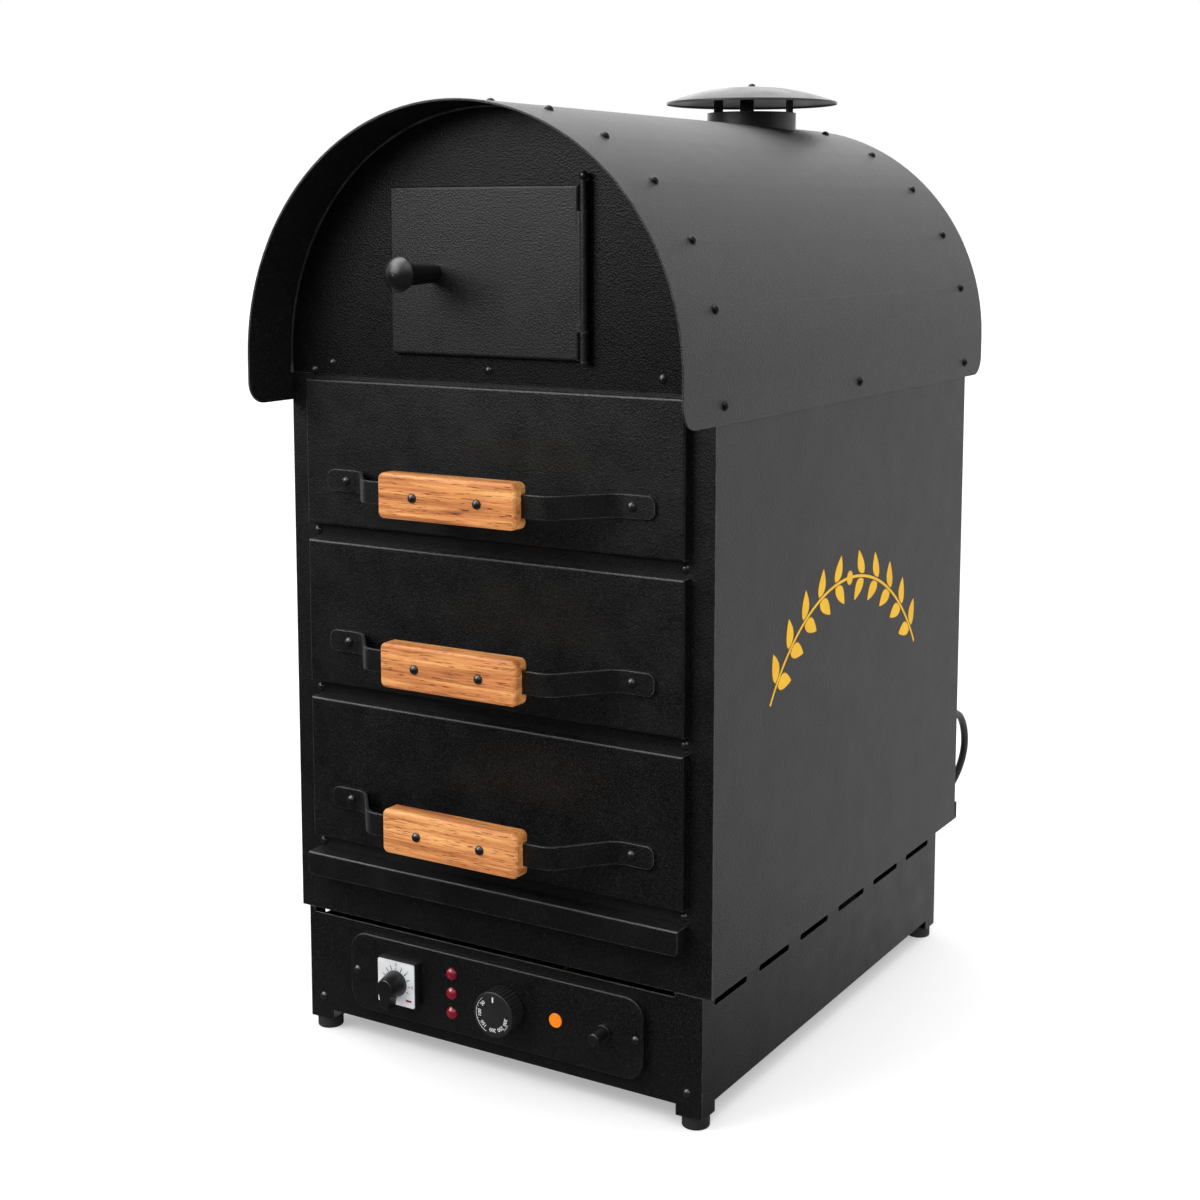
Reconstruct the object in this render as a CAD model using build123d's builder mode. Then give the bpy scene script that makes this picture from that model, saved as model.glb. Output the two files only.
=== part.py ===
"""Three-drawer electric potato oven with an arched warming hood, in millimetres.

X runs across the oven, Y from front to back and Z up. The origin is on the floor, at the
middle of the oven's own footprint box. Heights that end in _z are above the floor.
"""
import math
import os

from build123d import *

os.makedirs("parts", exist_ok=True)

# ---- sheets, gaps and fasteners --------------------------------------------------------
sheet = 1.5             # outer casing
liner_sheet = 1.2       # oven liner and trays
hood_sheet = 2.0
shut_gap = 0.5          # behind an overlaid front, lip or door
slide_gap = 0.3         # under a piece that slides on its runner
run_gap = 0.05          # radial, round a shaft or pin
hole_gap = 0.1          # radial, round a fixed shank
weld_gap = 0.05         # between sheets that are spot-welded edge to face

screw_head_r = 4.6
screw_head_h = 3.0
screw_shank_r = 2.0
rivet_head_r = 4.8
rivet_head_h = 4.0
rivet_shank_r = 2.2

# ---- base plinth and feet --------------------------------------------------------------
foot_r = 13.5
foot_h = 12.0
foot_round = 1.5
foot_stud_r = 3.0
foot_stud_h = 8.0
plinth_inset = 9.5      # inside the cabinet's sides
plinth_back_inset = 37.0
plinth_h = 121.0
leg_w = 28.5            # along the front and back
leg_d = 26.0            # along the sides
leg_h = 11.0
vent_gap_h = 5.0        # long air gap under the cabinet's front edge
vent_gap_left = 7.5     # inside the plinth's left side
vent_gap_right = 30.5
side_vent_w = 68.5
side_vent_h = 6.5
side_vent_count = 6
side_vent_inset = 23.2  # first slot behind the plinth's front
side_vent_end = 25.8    # last slot in front of the plinth's back
side_vent_drop = 12.5
plinth_screw_inset = 16.5
plinth_screw_rise = 24.0

# ---- cabinet ---------------------------------------------------------------------------
cabinet_w = 490.0
cabinet_d = 630.0
cabinet_h = 584.0       # up to the spring line of the arched hood
rail_last = 14.0        # middle of the highest rail below the spring line
rail_first = 75.0       # middle of the lowest rail above the cabinet's underside
rail_count = 4
rail_screw_inset = 4.5  # inside the drawer front's edge
rail_face_h = 17.0      # rail height that shows between two drawer fronts
back_hem_d = 6.0
back_hem_h = 20.0
back_screw_inset = 12.0

# ---- oven liner, insulation and runners ------------------------------------------------
runner_room = 11.0      # between the tray's rim and the liner's side
liner_back = 24.0       # insulation behind the liner
liner_floor = 47.5      # liner floor's underside above the cabinet's underside
liner_drop = 27.0       # liner roof's upper face below the spring line
deck_drop = 10.5        # warming deck's underside below the spring line
flue_w = 120.0
flue_d = 28.0
flue_back = 74.0        # in front of the cabinet's back face
runner_leg = 24.0
runner_t = 2.0
runner_h = 25.0
runner_end = 8.0        # short of the liner's back wall

# ---- drawers ---------------------------------------------------------------------------
front_lap = 23.0        # drawer front beyond the tray on each side
front_t = 10.5
front_round = 2.0
tray_w = 392.0
tray_short = 28.0       # tray lower than its front
tray_back = 70.0        # tray's end in front of the cabinet's back face
tray_rise = 10.0        # tray's underside above its front's lower edge
tray_rim = 5.0
opening_gap = 3.0       # frame opening round a tray

# ---- drawer handles --------------------------------------------------------------------
handle_rise = 47.0      # above the front's lower edge
strap_w = 22.0
strap_t = 3.0
strap_bend_r = 22.0
strap_end_x = 190.0
strap_bend_x = 149.0
strap_grip_x = 106.0
strap_reach = 53.0      # middle of the strap's thickness in front of the drawer front
tab_round = 8.0
tab_rivet_x = 166.0
grip_l = 157.0
grip_h = 44.0
grip_t = 20.0
grip_skin = 11.5        # wood in front of the strap
grip_round = 4.0
grip_corner_r = 6.0
grip_rivet_x = 37.0

# ---- crumb tray ------------------------------------------------------------------------
crumb_side = 14.0       # inside the liner's side
crumb_back = 58.0       # tray's end in front of the cabinet's back face
crumb_h = 13.0
lip_d = 20.0
lip_h = 24.0
lip_top = 68.0          # above the cabinet's underside
lip_round = 5.0

# ---- heating elements and thermostat bulb ----------------------------------------------
element_r = 4.0
element_leg_x = 90.0
element_front = 70.0    # bend's front behind the cabinet's front face
element_drop = 15.0     # tube's middle below the tray above it
element_tail = 14.0     # cold tail behind the liner
flange_r = 9.0
flange_t = 3.0
bulb_r = 3.0
bulb_l = 100.0
bulb_rise = 110.0
capillary_r = 1.0
capillary_bend = 8.0
capillary_rear = 61.0   # riser in front of the cabinet's back face

# ---- hood ------------------------------------------------------------------------------
hood_gap = 0.3          # between the hood and the cabinet's sides
hood_front = 65.0       # overhang
hood_rear = 47.0
hood_leg = 46.0         # straight part below the spring line
hood_corner_r = 22.0
arch_foot = 18.0        # arch panels reach this far below the spring line
arch_flange = 16.0
arch_screw_inset = 54.0
arch_screw_drop = 6.0
rivet_inset = 9.0
rivet_front_inset = 4.5
rivet_leg_inset = 12.0
rivet_step = 15.3       # degrees between hood rivets
rivet_side_steps = 5
rivet_leg_drop = 29.0

# ---- hood door -------------------------------------------------------------------------
door_left = -110.0
door_right = 106.0
door_low = 7.0          # above the spring line
door_high = 169.0
door_t = 8.0
door_lap = 8.0          # door overlaps its opening on each side
door_round = 2.5
hinge_x = 111.0
hinge_r = 4.2
hinge_pin_r = 2.0
hinge_reach = 6.0       # pin's middle in front of the arch panel
hinge_low = 6.0         # above the spring line
hinge_high = 173.0
hinge_knuckle = 28.0
hinge_gap = 0.4
hinge_ball_r = 4.2
knob_x = -58.0
knob_rise = 86.0        # above the spring line
knob_neck_r = 9.0
knob_stem_r = 12.0
knob_head_r = 17.0
knob_stem_l = 51.5
knob_head_t = 13.0
knob_stud_r = 2.5
catch_w = 10.0
catch_h = 40.0
catch_d = 16.0

# ---- cowl ------------------------------------------------------------------------------
cowl_back = 77.0        # in front of the cabinet's back face
collar_r = 52.5
collar_rise = 15.0
collar_sink = 12.0
cap_r = 101.0
cap_h = 21.0
cap_gap = 10.0
cap_lip = 2.5
strut_w = 16.0
strut_t = 2.0
strut_lap = 12.0
strut_angle = 20.3      # degrees from the front, towards the right
strut_count = 3

# ---- control panel ---------------------------------------------------------------------
panel_w = 351.0
panel_h = 82.0
panel_t = 7.5
panel_round = 20.0
panel_drop = 54.0       # middle of the panel below the cabinet's underside
panel_window_w = 316.0
panel_window_h = 66.0
panel_screw_x = 167.0

switch_x = -111.0
switch_size = 48.0      # standard 48 by 48 mm rotary switch
switch_bezel_t = 7.0
switch_plate_size = 46.0
switch_plate_t = 1.0
switch_body_size = 40.0
switch_body_l = 45.0
switch_neck_r = 8.0
switch_hub_r = 13.5
switch_hub_t = 3.0
switch_grip_r = 9.6
switch_knob_l = 20.0
switch_lever_w = 8.0
switch_lever_l = 20.5
switch_shaft_r = 3.0
switch_shaft_l = 12.0
switch_knob_round = 1.0

red_x = -47.0
red_pitch = 20.5
red_count = 3
lens_r = 6.5
lens_h = 4.5
lens_neck_r = 4.5
lamp_body_r = 6.0
lamp_body_l = 24.0
orange_x = 77.5
orange_r = 7.2
orange_t = 1.4

thermo_x = 18.0
thermo_r = 23.0
thermo_l = 21.5
thermo_body_w = 36.0
thermo_body_l = 28.0
thermo_shaft_r = 3.0
thermo_shaft_l = 14.0
knurl_count = 36
knurl_r = 1.2

button_x = 132.0
button_r = 5.75
button_out = 20.0       # head in front of the panel
button_travel = 4.0
button_back = 4.5       # head's back face behind the panel's face
button_stem_r = 2.0
bushing_flange_r = 8.5
bushing_flange_t = 3.5
bushing_r = 7.4
bushing_l = 22.0        # behind the panel's face
bushing_end = 3.0
spring_wire_r = 0.4
spring_r = 3.7
spring_turns = 6

# ---- mains lead ------------------------------------------------------------------------
cord_r = 4.5
gland_inset = 28.0      # inside the cabinet's right side
gland_rise = 115.0      # above the cabinet's underside
gland_nut_r = 12.0
gland_nut_l = 8.0
gland_neck_r = 8.0
gland_l = 36.0
gland_inner_l = 6.0
coil_left = 132.0       # left of the gland
coil_y = 126.0          # behind the cabinet's back face
coil_r = 50.0
coil_w = 22.0
coil_h = 18.0
plug_w = 48.0
plug_l = 50.0
plug_t = 18.0
plug_round = 6.0
plug_gap = 16.0         # plug behind the cabinet's back face
plug_z = 8.0
pin_l = 21.0
plug_collar_l = 8.0
plug_pins = (           # X from the plug's middle, share of its length, width, depth
    (0.0, 0.28, 4.0, 8.0), (-11.0, 0.72, 6.3, 4.0), (11.0, 0.72, 6.3, 4.0))
cord_route = [          # from the gland to the coil: X from the gland, behind the back face, Z
    (0.0, 36.0, 248.0), (0.0, 72.0, 248.0), (0.0, 101.5, 225.7), (-1.0, 111.7, 190.1),
    (-7.0, 100.0, 156.0), (-20.0, 78.0, 127.0), (-34.0, 62.0, 94.0), (-45.0, 61.0, 58.0),
    (-50.0, 80.0, 25.0), (-52.0, 117.0, 4.5), (-63.0, 152.0, 4.5), (-93.0, 175.0, 4.5),
    (-133.6, 176.3, 4.5)]

# ---- wiring ----------------------------------------------------------------------------
terminal_size = (60.0, 26.0, 22.0)
terminal_inset = 118.5  # middle inside the plinth's right side
terminal_back = 115.0   # front side, in front of the cabinet's back face
wire_r = 3.0
wire_bend = 6.0
wire_low = 4.0          # lower wire's middle above the base floor
wire_high = 11.0
wire_riser = 24.0       # run inside the cabinet's floor insulation, above its underside
wire_gap = 0.5

# ---- places worked out from the sizes above --------------------------------------------
grip_face = front_t + shut_gap + strap_reach + strap_t / 2 + grip_skin
front_y = (grip_face + rivet_head_h - cabinet_d - hood_rear) / 2
back_y = front_y + cabinet_d
cabinet_z = foot_h + plinth_h
spring_z = cabinet_z + cabinet_h
deck_z = spring_z - deck_drop
rail_pitch = (cabinet_h - rail_first - rail_last) / (rail_count - 1)
front_h = rail_pitch - rail_face_h
tray_h = front_h - tray_short
half_w = cabinet_w / 2
plinth_w = cabinet_w - 2 * plinth_inset
plinth_d = cabinet_d - plinth_back_inset
side_vent_pitch = ((plinth_d - side_vent_inset - side_vent_end - side_vent_w)
                   / (side_vent_count - 1))
plinth_screw_x = plinth_w / 2 - plinth_screw_inset
arch_screw_x = half_w - arch_screw_inset
front_w = tray_w + 2 * front_lap
lip_w = front_w
rail_screw_x = front_w / 2 - rail_screw_inset
liner_w = tray_w + 2 * (tray_rim + runner_room)
crumb_w = liner_w - 2 * crumb_side
tray_l = cabinet_d - tray_back
crumb_l = cabinet_d - crumb_back
flue_y = cabinet_d - flue_back
cowl_y = cabinet_d - cowl_back
terminal_x = plinth_w / 2 - terminal_inset
terminal_y = cabinet_d - terminal_back
capillary_run = cabinet_d - capillary_rear
gland_x = half_w - gland_inset
coil_x = gland_x - coil_left
hood_in_r = half_w + hood_gap
hood_out_r = hood_in_r + hood_sheet
hood_top_z = spring_z + hood_out_r
plinth_x = plinth_w / 2
plinth_back = front_y + plinth_d
plinth_skirt_z = foot_h + leg_h
liner_x = liner_w / 2
liner_end = back_y - sheet - liner_back
liner_floor_z = cabinet_z + liner_floor
liner_roof_z = spring_z - liner_drop
drawer_front_y = front_y - shut_gap
panel_face_y = front_y - panel_t
panel_z = cabinet_z - panel_drop
opening_x = tray_w / 2 + tray_rim + opening_gap
arch_face_y = front_y - sheet
door_face_y = arch_face_y - shut_gap - door_t
hinge_y = arch_face_y - hinge_reach
knob_z = spring_z + knob_rise
collar_y = front_y + cowl_y
cap_rim_z = hood_top_z + collar_rise + cap_gap
cap_top_z = cap_rim_z + cap_h
drawer_names = ["drawer_bottom", "drawer_middle", "drawer_top"]


def drawer_low(index):
    """Height of a drawer front's lower edge, counted from the bottom drawer."""
    return cabinet_z + rail_first + rail_face_h / 2 + rail_pitch * index


def save(builder, name):
    """Label a finished piece and write it to its own STEP file."""
    builder.part.label = name
    export_step(builder.part, f"parts/{name}.step")


def facing(y):
    """Upright plane at y that looks to the front: its axes are X and Z."""
    return Plane(origin=(0, y, 0), x_dir=(1, 0, 0), z_dir=(0, -1, 0))


def toward(point, axis):
    """Plane at a point whose normal is the axis."""
    return Plane(origin=point, z_dir=axis)


def slab(low, high, mode=Mode.ADD):
    """Straight block between its low and high corners."""
    with Locations(tuple(low)):
        Box(*[b - a for a, b in zip(low, high)], align=(Align.MIN,) * 3, mode=mode)


def rod(point, axis, radius, length, mode=Mode.ADD):
    """Round bar that starts at a point and runs along an axis."""
    with Locations(toward(point, axis)):
        Cylinder(radius, length, align=(Align.CENTER, Align.CENTER, Align.MIN), mode=mode)


def rectangle(low, high, mode=Mode.ADD):
    """Rectangle between two corners of the open sketch."""
    with Locations(((low[0] + high[0]) / 2, (low[1] + high[1]) / 2)):
        Rectangle(high[0] - low[0], high[1] - low[1], mode=mode)


def pipe(points, radii, radius):
    """Round tube along straight runs that are joined by tangent arcs."""
    with BuildPart() as tube:
        with BuildLine() as route:
            FilletPolyline(*points, radius=radii)
        with BuildSketch(toward(route.line @ 0, route.line % 0)):
            Circle(radius)
        sweep()
    return tube.part


def bend_radii(points):
    """Largest even arcs: 0.45 of the shorter run over the tangent of half the turn."""
    radii = []
    for a, b, c in zip(points, points[1:], points[2:]):
        first = Vector(*b) - Vector(*a)
        second = Vector(*c) - Vector(*b)
        turn = math.radians(first.get_angle(second))
        radii.append(0.45 * min(first.length, second.length) / math.tan(turn / 2))
    return radii


def cap_arc(radius, foot, crown):
    """Arc of a round cap's half section, from its rim at the foot height to its crown."""
    rise = crown - foot
    RadiusArc((radius, foot), (0, crown), -(radius ** 2 + rise ** 2) / (2 * rise))


def dome_fastener(head_r, head_h, shank_r, shank_l):
    """Dome-headed fastener: its head stands on the XY plane and its shank hangs below."""
    with BuildPart() as fastener:
        with BuildSketch(Plane.XZ):
            with BuildLine():
                cap_arc(head_r, 0, head_h)
                Polyline((0, head_h), (0, -shank_l), (shank_r, -shank_l), (shank_r, 0), (head_r, 0))
            make_face()
        revolve(axis=Axis.Z)
    return fastener.part


# ---- where the fasteners sit -----------------------------------------------------------
front_axis = (0, -1, 0)
back_axis = (0, 1, 0)
frame_screws = [
    toward((side * rail_screw_x, front_y, cabinet_z + rail_first + rail_pitch * row), front_axis)
    for row in range(rail_count - 1)
    for side in (-1, 1)
]
arch_screw_z = spring_z - arch_screw_drop
arch_corner_z = cabinet_z + rail_first + rail_pitch * (rail_count - 1)
arch_screws = [toward((x, arch_face_y, arch_screw_z), front_axis)
               for x in (-arch_screw_x, 0, arch_screw_x)]
arch_screws += [toward((side * rail_screw_x, arch_face_y, arch_corner_z), front_axis)
                for side in (-1, 1)]
plinth_screws = [toward((side * plinth_screw_x, front_y, foot_h + plinth_screw_rise), front_axis)
                 for side in (-1, 1)]
panel_screws = [toward((side * panel_screw_x, panel_face_y, panel_z), front_axis)
                for side in (-1, 1)]
back_screws = [
    toward((side * (half_w - back_screw_inset), back_y, cabinet_z + rail_first + rail_pitch * row),
           back_axis)
    for row in range(rail_count - 1)
    for side in (-1, 1)
]
rear_arch_screws = [toward((x, back_y + sheet, arch_screw_z), back_axis)
                    for x in (-arch_screw_x, 0, arch_screw_x)]
rivet_angles = [rivet_step * n for n in range(-rivet_side_steps, rivet_side_steps + 1)]
rivet_rows = (front_y + rivet_front_inset, back_y - rivet_inset)
rivet_columns = (front_y + rivet_leg_inset, (front_y + back_y) / 2, back_y - rivet_inset)


def hood_rivet_places():
    """Planes on the hood's outside: two arched rows, and three along each straight leg."""
    places = []
    for y in rivet_rows:
        for angle in rivet_angles:
            out = (math.sin(math.radians(angle)), 0, math.cos(math.radians(angle)))
            places.append(toward((hood_out_r * out[0], y, spring_z + hood_out_r * out[2]), out))
    for y in rivet_columns:
        for side in (-1, 1):
            places.append(toward((side * hood_out_r, y, spring_z - rivet_leg_drop), (side, 0, 0)))
    return places


hood_rivets = hood_rivet_places()


def drill(places, radius):
    """Cut a clearance hole through the open part at each fastener's place."""
    with Locations(*places):
        Cylinder(radius + hole_gap, 4 * panel_t, mode=Mode.SUBTRACT)


# ---- base: plinth, floor and feet ------------------------------------------------------
foot_places = [
    (side * (plinth_x - foot_r - shut_gap), y)
    for side in (-1, 1)
    for y in (front_y + foot_r + shut_gap, plinth_back - foot_r - shut_gap)
]

with BuildPart() as base_plinth:
    slab((-plinth_x, front_y, foot_h), (plinth_x, plinth_back, cabinet_z))
    slab((-plinth_x + sheet, front_y + sheet, foot_h),
         (plinth_x - sheet, plinth_back - sheet, cabinet_z), Mode.SUBTRACT)
    slab((-plinth_x + leg_w, front_y, foot_h), (plinth_x - leg_w, plinth_back, plinth_skirt_z),
         Mode.SUBTRACT)
    slab((-plinth_x, front_y + leg_d, foot_h), (plinth_x, plinth_back - leg_d, plinth_skirt_z),
         Mode.SUBTRACT)
    with BuildSketch(facing(front_y)):
        rectangle((vent_gap_left - plinth_x, cabinet_z - vent_gap_h),
                  (plinth_x - vent_gap_right, cabinet_z))
        with Locations((0, panel_z)):
            Rectangle(panel_window_w, panel_window_h)
    extrude(amount=-sheet, mode=Mode.SUBTRACT)
    with BuildSketch(Plane.YZ.offset(-plinth_x)):
        for n in range(side_vent_count):
            vent_y = front_y + side_vent_inset + side_vent_w / 2 + side_vent_pitch * n
            with Locations((vent_y, cabinet_z - side_vent_drop)):
                SlotOverall(side_vent_w, side_vent_h)
    extrude(amount=plinth_w, mode=Mode.SUBTRACT)
    for side in (-1, 1):
        for low_y in (front_y, plinth_back - leg_d):
            low_x = min(side * plinth_x, side * (plinth_x - leg_w))
            slab((low_x, low_y, foot_h), (low_x + leg_w, low_y + leg_d, foot_h + sheet))
    for x, y in foot_places:
        rod((x, y, foot_h), (0, 0, 1), foot_stud_r + hole_gap, sheet, Mode.SUBTRACT)
    drill(plinth_screws + panel_screws, screw_shank_r)
save(base_plinth, "base_plinth")

with BuildPart() as base_floor:
    slab((-plinth_x + sheet, front_y + sheet, plinth_skirt_z),
         (plinth_x - sheet, plinth_back - sheet, plinth_skirt_z + sheet))
save(base_floor, "base_floor")

with BuildPart() as feet:
    with Locations(*[(x, y, 0) for x, y in foot_places]):
        Cylinder(foot_r, foot_h, align=(Align.CENTER, Align.CENTER, Align.MIN))
    fillet(feet.edges().group_by(Axis.Z)[0], radius=foot_round)
    for x, y in foot_places:
        rod((x, y, foot_h), (0, 0, 1), foot_stud_r, foot_stud_h)
save(feet, "feet")


# ---- cabinet: frame, sides, back and floor ---------------------------------------------
crumb_z = liner_floor_z + liner_sheet + slide_gap
capillary_back = liner_end + liner_back / 2
bulb_y = liner_end - liner_sheet - bulb_r - slide_gap
bulb_z = cabinet_z + bulb_rise
capillary_points = [
    (thermo_x, panel_face_y + sheet + thermo_body_l, panel_z),
    (thermo_x, front_y + capillary_run, panel_z),
    (thermo_x, front_y + capillary_run, cabinet_z + liner_floor / 2),
    (thermo_x, capillary_back, cabinet_z + liner_floor / 2),
    (thermo_x, capillary_back, bulb_z),
    (thermo_x, bulb_y, bulb_z),
    (thermo_x + 2 * capillary_bend, bulb_y, bulb_z),
]


def capillary_way(clearance):
    """The capillary's own tube, or the wider passage that it runs through."""
    bends = [capillary_bend] * (len(capillary_points) - 2)
    return pipe(capillary_points, bends, capillary_r + clearance)


element_places = [drawer_low(index) + tray_rise - element_drop for index in range(len(drawer_names))]
gland_z = cabinet_z + gland_rise
base_top_z = plinth_skirt_z + sheet
terminal_low = (terminal_x, front_y + terminal_y, base_top_z)
terminal_high = [a + b for a, b in zip(terminal_low, terminal_size)]
wire_z = base_top_z + wire_high
wire_low_z = base_top_z + wire_low
riser_z = cabinet_z + wire_riser
gland_end_y = back_y - sheet - gland_inner_l
mains_y = gland_end_y - wire_bend - wire_gap
tail_y = liner_end + element_tail + wire_r
tail_top_z = element_places[-1] + 2 * wire_bend
terminal_mid_y = (terminal_low[1] + terminal_high[1]) / 2
thermo_end_y = panel_face_y + sheet + thermo_body_l
switch_end_y = panel_face_y + sheet + switch_body_l
feed_x = terminal_high[0] - 2 * wire_bend
feed_y = terminal_high[1] + 2 * wire_bend
thermo_wire_z = panel_z - thermo_body_w / 5
wire_paths = [
    # mains, from the gland to the terminal block
    [(gland_x, gland_end_y, gland_z), (gland_x, mains_y, gland_z), (gland_x, mains_y, riser_z),
     (gland_x, terminal_mid_y, riser_z), (gland_x, terminal_mid_y, wire_z),
     (terminal_high[0], terminal_mid_y, wire_z)],
    # thermostat
    [(terminal_low[0] + 2 * wire_bend, terminal_low[1], wire_z),
     (terminal_low[0] + 2 * wire_bend, thermo_end_y + switch_body_l, wire_z),
     (thermo_x, thermo_end_y + switch_body_l, wire_z),
     (thermo_x, thermo_end_y + switch_body_l, thermo_wire_z),
     (thermo_x, thermo_end_y, thermo_wire_z)],
    # switch
    [(feed_x, terminal_low[1], wire_low_z), (feed_x, switch_end_y + switch_body_l, wire_low_z),
     (switch_x, switch_end_y + switch_body_l, wire_low_z),
     (switch_x, switch_end_y + switch_body_l, panel_z), (switch_x, switch_end_y, panel_z)],
    # heating elements, up the right ends, across and down the left ends
    [(feed_x, terminal_high[1], wire_z), (feed_x, feed_y, wire_z), (feed_x, feed_y, riser_z),
     (feed_x, tail_y, riser_z), (element_leg_x, tail_y, riser_z),
     (element_leg_x, tail_y, tail_top_z), (-element_leg_x, tail_y, tail_top_z),
     (-element_leg_x, tail_y, element_places[0] - element_r)],
]


def wire_way(path, clearance):
    """One wire's own round body, or the wider passage that it runs through."""
    return pipe(path, [wire_bend] * (len(path) - 2), wire_r + clearance)


with BuildPart() as front_frame:
    with BuildSketch(facing(front_y)):
        rectangle((-half_w, cabinet_z), (half_w, spring_z))
        for index in range(len(drawer_names)):
            low = drawer_low(index) + tray_rise - opening_gap
            rectangle((-opening_x, low), (opening_x, low + tray_h + 2 * opening_gap), Mode.SUBTRACT)
        rectangle((-crumb_w / 2 - opening_gap, liner_floor_z + liner_sheet),
                  (crumb_w / 2 + opening_gap, crumb_z + crumb_h + opening_gap), Mode.SUBTRACT)
    extrude(amount=-sheet)
    drill(frame_screws + arch_screws, screw_shank_r)
save(front_frame, "front_frame")


def side_panel(side):
    """Plain side sheet of the cabinet, left (-1) or right (1)."""
    with BuildPart() as panel:
        low_x = min(side * half_w, side * (half_w - sheet))
        slab((low_x, front_y + sheet, cabinet_z), (low_x + sheet, back_y - sheet, spring_z))
        drill(hood_rivets, rivet_shank_r)
    return panel


side_panel_left = side_panel(-1)
save(side_panel_left, "side_panel_left")

side_panel_right = side_panel(1)
save(side_panel_right, "side_panel_right")

with BuildPart() as back_panel:
    slab((-half_w, back_y - sheet, cabinet_z), (half_w, back_y, spring_z))
    slab((-half_w, back_y, cabinet_z), (half_w, back_y + back_hem_d, cabinet_z + sheet))
    slab((-half_w, back_y + back_hem_d - sheet, cabinet_z),
         (half_w, back_y + back_hem_d, cabinet_z + back_hem_h))
    rod((gland_x, back_y, gland_z), (0, -1, 0), gland_neck_r + hole_gap, sheet, Mode.SUBTRACT)
    drill(back_screws + rear_arch_screws, screw_shank_r)
save(back_panel, "back_panel")

with BuildPart() as cabinet_floor:
    slab((-half_w + sheet, front_y + sheet, cabinet_z),
         (half_w - sheet, back_y - sheet, cabinet_z + sheet))
    add(capillary_way(capillary_r), mode=Mode.SUBTRACT)
    for x, y in ((gland_x, terminal_mid_y), (feed_x, feed_y)):
        rod((x, y, cabinet_z), (0, 0, 1), wire_r + wire_gap, sheet, Mode.SUBTRACT)
save(cabinet_floor, "cabinet_floor")

# ---- oven: liner, insulation, deck and runners -----------------------------------------
flue_low = (-flue_w / 2, front_y + flue_y - flue_d / 2)
flue_high = (flue_w / 2, front_y + flue_y + flue_d / 2)

with BuildPart() as oven_liner:
    slab((-liner_x - liner_sheet, front_y + sheet, liner_floor_z),
         (liner_x + liner_sheet, liner_end, liner_roof_z))
    slab((-liner_x, front_y + sheet, liner_floor_z + liner_sheet),
         (liner_x, liner_end - liner_sheet, liner_roof_z - liner_sheet), Mode.SUBTRACT)
    slab((*flue_low, liner_roof_z - liner_sheet), (*flue_high, liner_roof_z), Mode.SUBTRACT)
    for z in element_places:
        for x in (-element_leg_x, element_leg_x):
            rod((x, liner_end, z), (0, -1, 0), element_r + hole_gap, liner_sheet, Mode.SUBTRACT)
    add(capillary_way(capillary_r), mode=Mode.SUBTRACT)
save(oven_liner, "oven_liner")

with BuildPart() as insulation:
    slab((-half_w + sheet, front_y + sheet, cabinet_z + sheet), (half_w - sheet, back_y - sheet, deck_z))
    slab((-liner_x - liner_sheet, front_y + sheet, liner_floor_z),
         (liner_x + liner_sheet, liner_end, liner_roof_z), Mode.SUBTRACT)
    slab((*flue_low, liner_roof_z), (*flue_high, deck_z), Mode.SUBTRACT)
    for z in element_places:
        for x in (-element_leg_x, element_leg_x):
            rod((x, liner_end, z), (0, 1, 0), 2 * element_r, element_tail, Mode.SUBTRACT)
    rod((gland_x, back_y - sheet, gland_z), (0, -1, 0), gland_nut_r, gland_inner_l, Mode.SUBTRACT)
    add(capillary_way(capillary_r), mode=Mode.SUBTRACT)
    for path in (wire_paths[0], wire_paths[-1]):
        add(wire_way(path, wire_gap), mode=Mode.SUBTRACT)
save(insulation, "insulation")

with BuildPart() as warming_deck:
    slab((-half_w + sheet, front_y + sheet, deck_z), (half_w - sheet, back_y - sheet, deck_z + sheet))
    slab((*flue_low, deck_z), (*flue_high, deck_z + sheet), Mode.SUBTRACT)
save(warming_deck, "warming_deck")

with BuildPart() as drawer_runners:
    for index in range(len(drawer_names)):
        top = drawer_low(index) + tray_rise - slide_gap
        start = front_y + sheet
        end = liner_end - liner_sheet - runner_end
        slab((liner_x - runner_leg, start, top - runner_t), (liner_x, end, top))
        slab((liner_x - runner_t, start, top - runner_t), (liner_x, end, top + runner_h))
    mirror(about=Plane.YZ)
save(drawer_runners, "drawer_runners")

with BuildPart() as heating_elements:
    for z in element_places:
        end_y = liner_end + element_tail
        bend_y = front_y + element_front
        hairpin = [(-element_leg_x, end_y, z), (-element_leg_x, bend_y, z),
                   (element_leg_x, bend_y, z), (element_leg_x, end_y, z)]
        add(pipe(hairpin, [element_leg_x / 2] * 2, element_r))
        for x in (-element_leg_x, element_leg_x):
            rod((x, liner_end - liner_sheet, z), (0, -1, 0), flange_r, flange_t)
save(heating_elements, "heating_elements")

with BuildPart() as thermostat_bulb:
    add(capillary_way(0))
    rod(capillary_points[-1], (1, 0, 0), bulb_r, bulb_l)
save(thermostat_bulb, "thermostat_bulb")


# ---- drawers ---------------------------------------------------------------------------
def drawer_rivet_places(low):
    """Planes of the two tab rivets, then of the two grip rivets."""
    z = low + handle_rise
    tab_y = drawer_front_y - front_t - strap_t
    grip_y = front_y - grip_face
    tabs = [toward((side * tab_rivet_x, tab_y, z), front_axis) for side in (-1, 1)]
    grips = [toward((side * grip_rivet_x, grip_y, z), front_axis) for side in (-1, 1)]
    return tabs, grips


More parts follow.
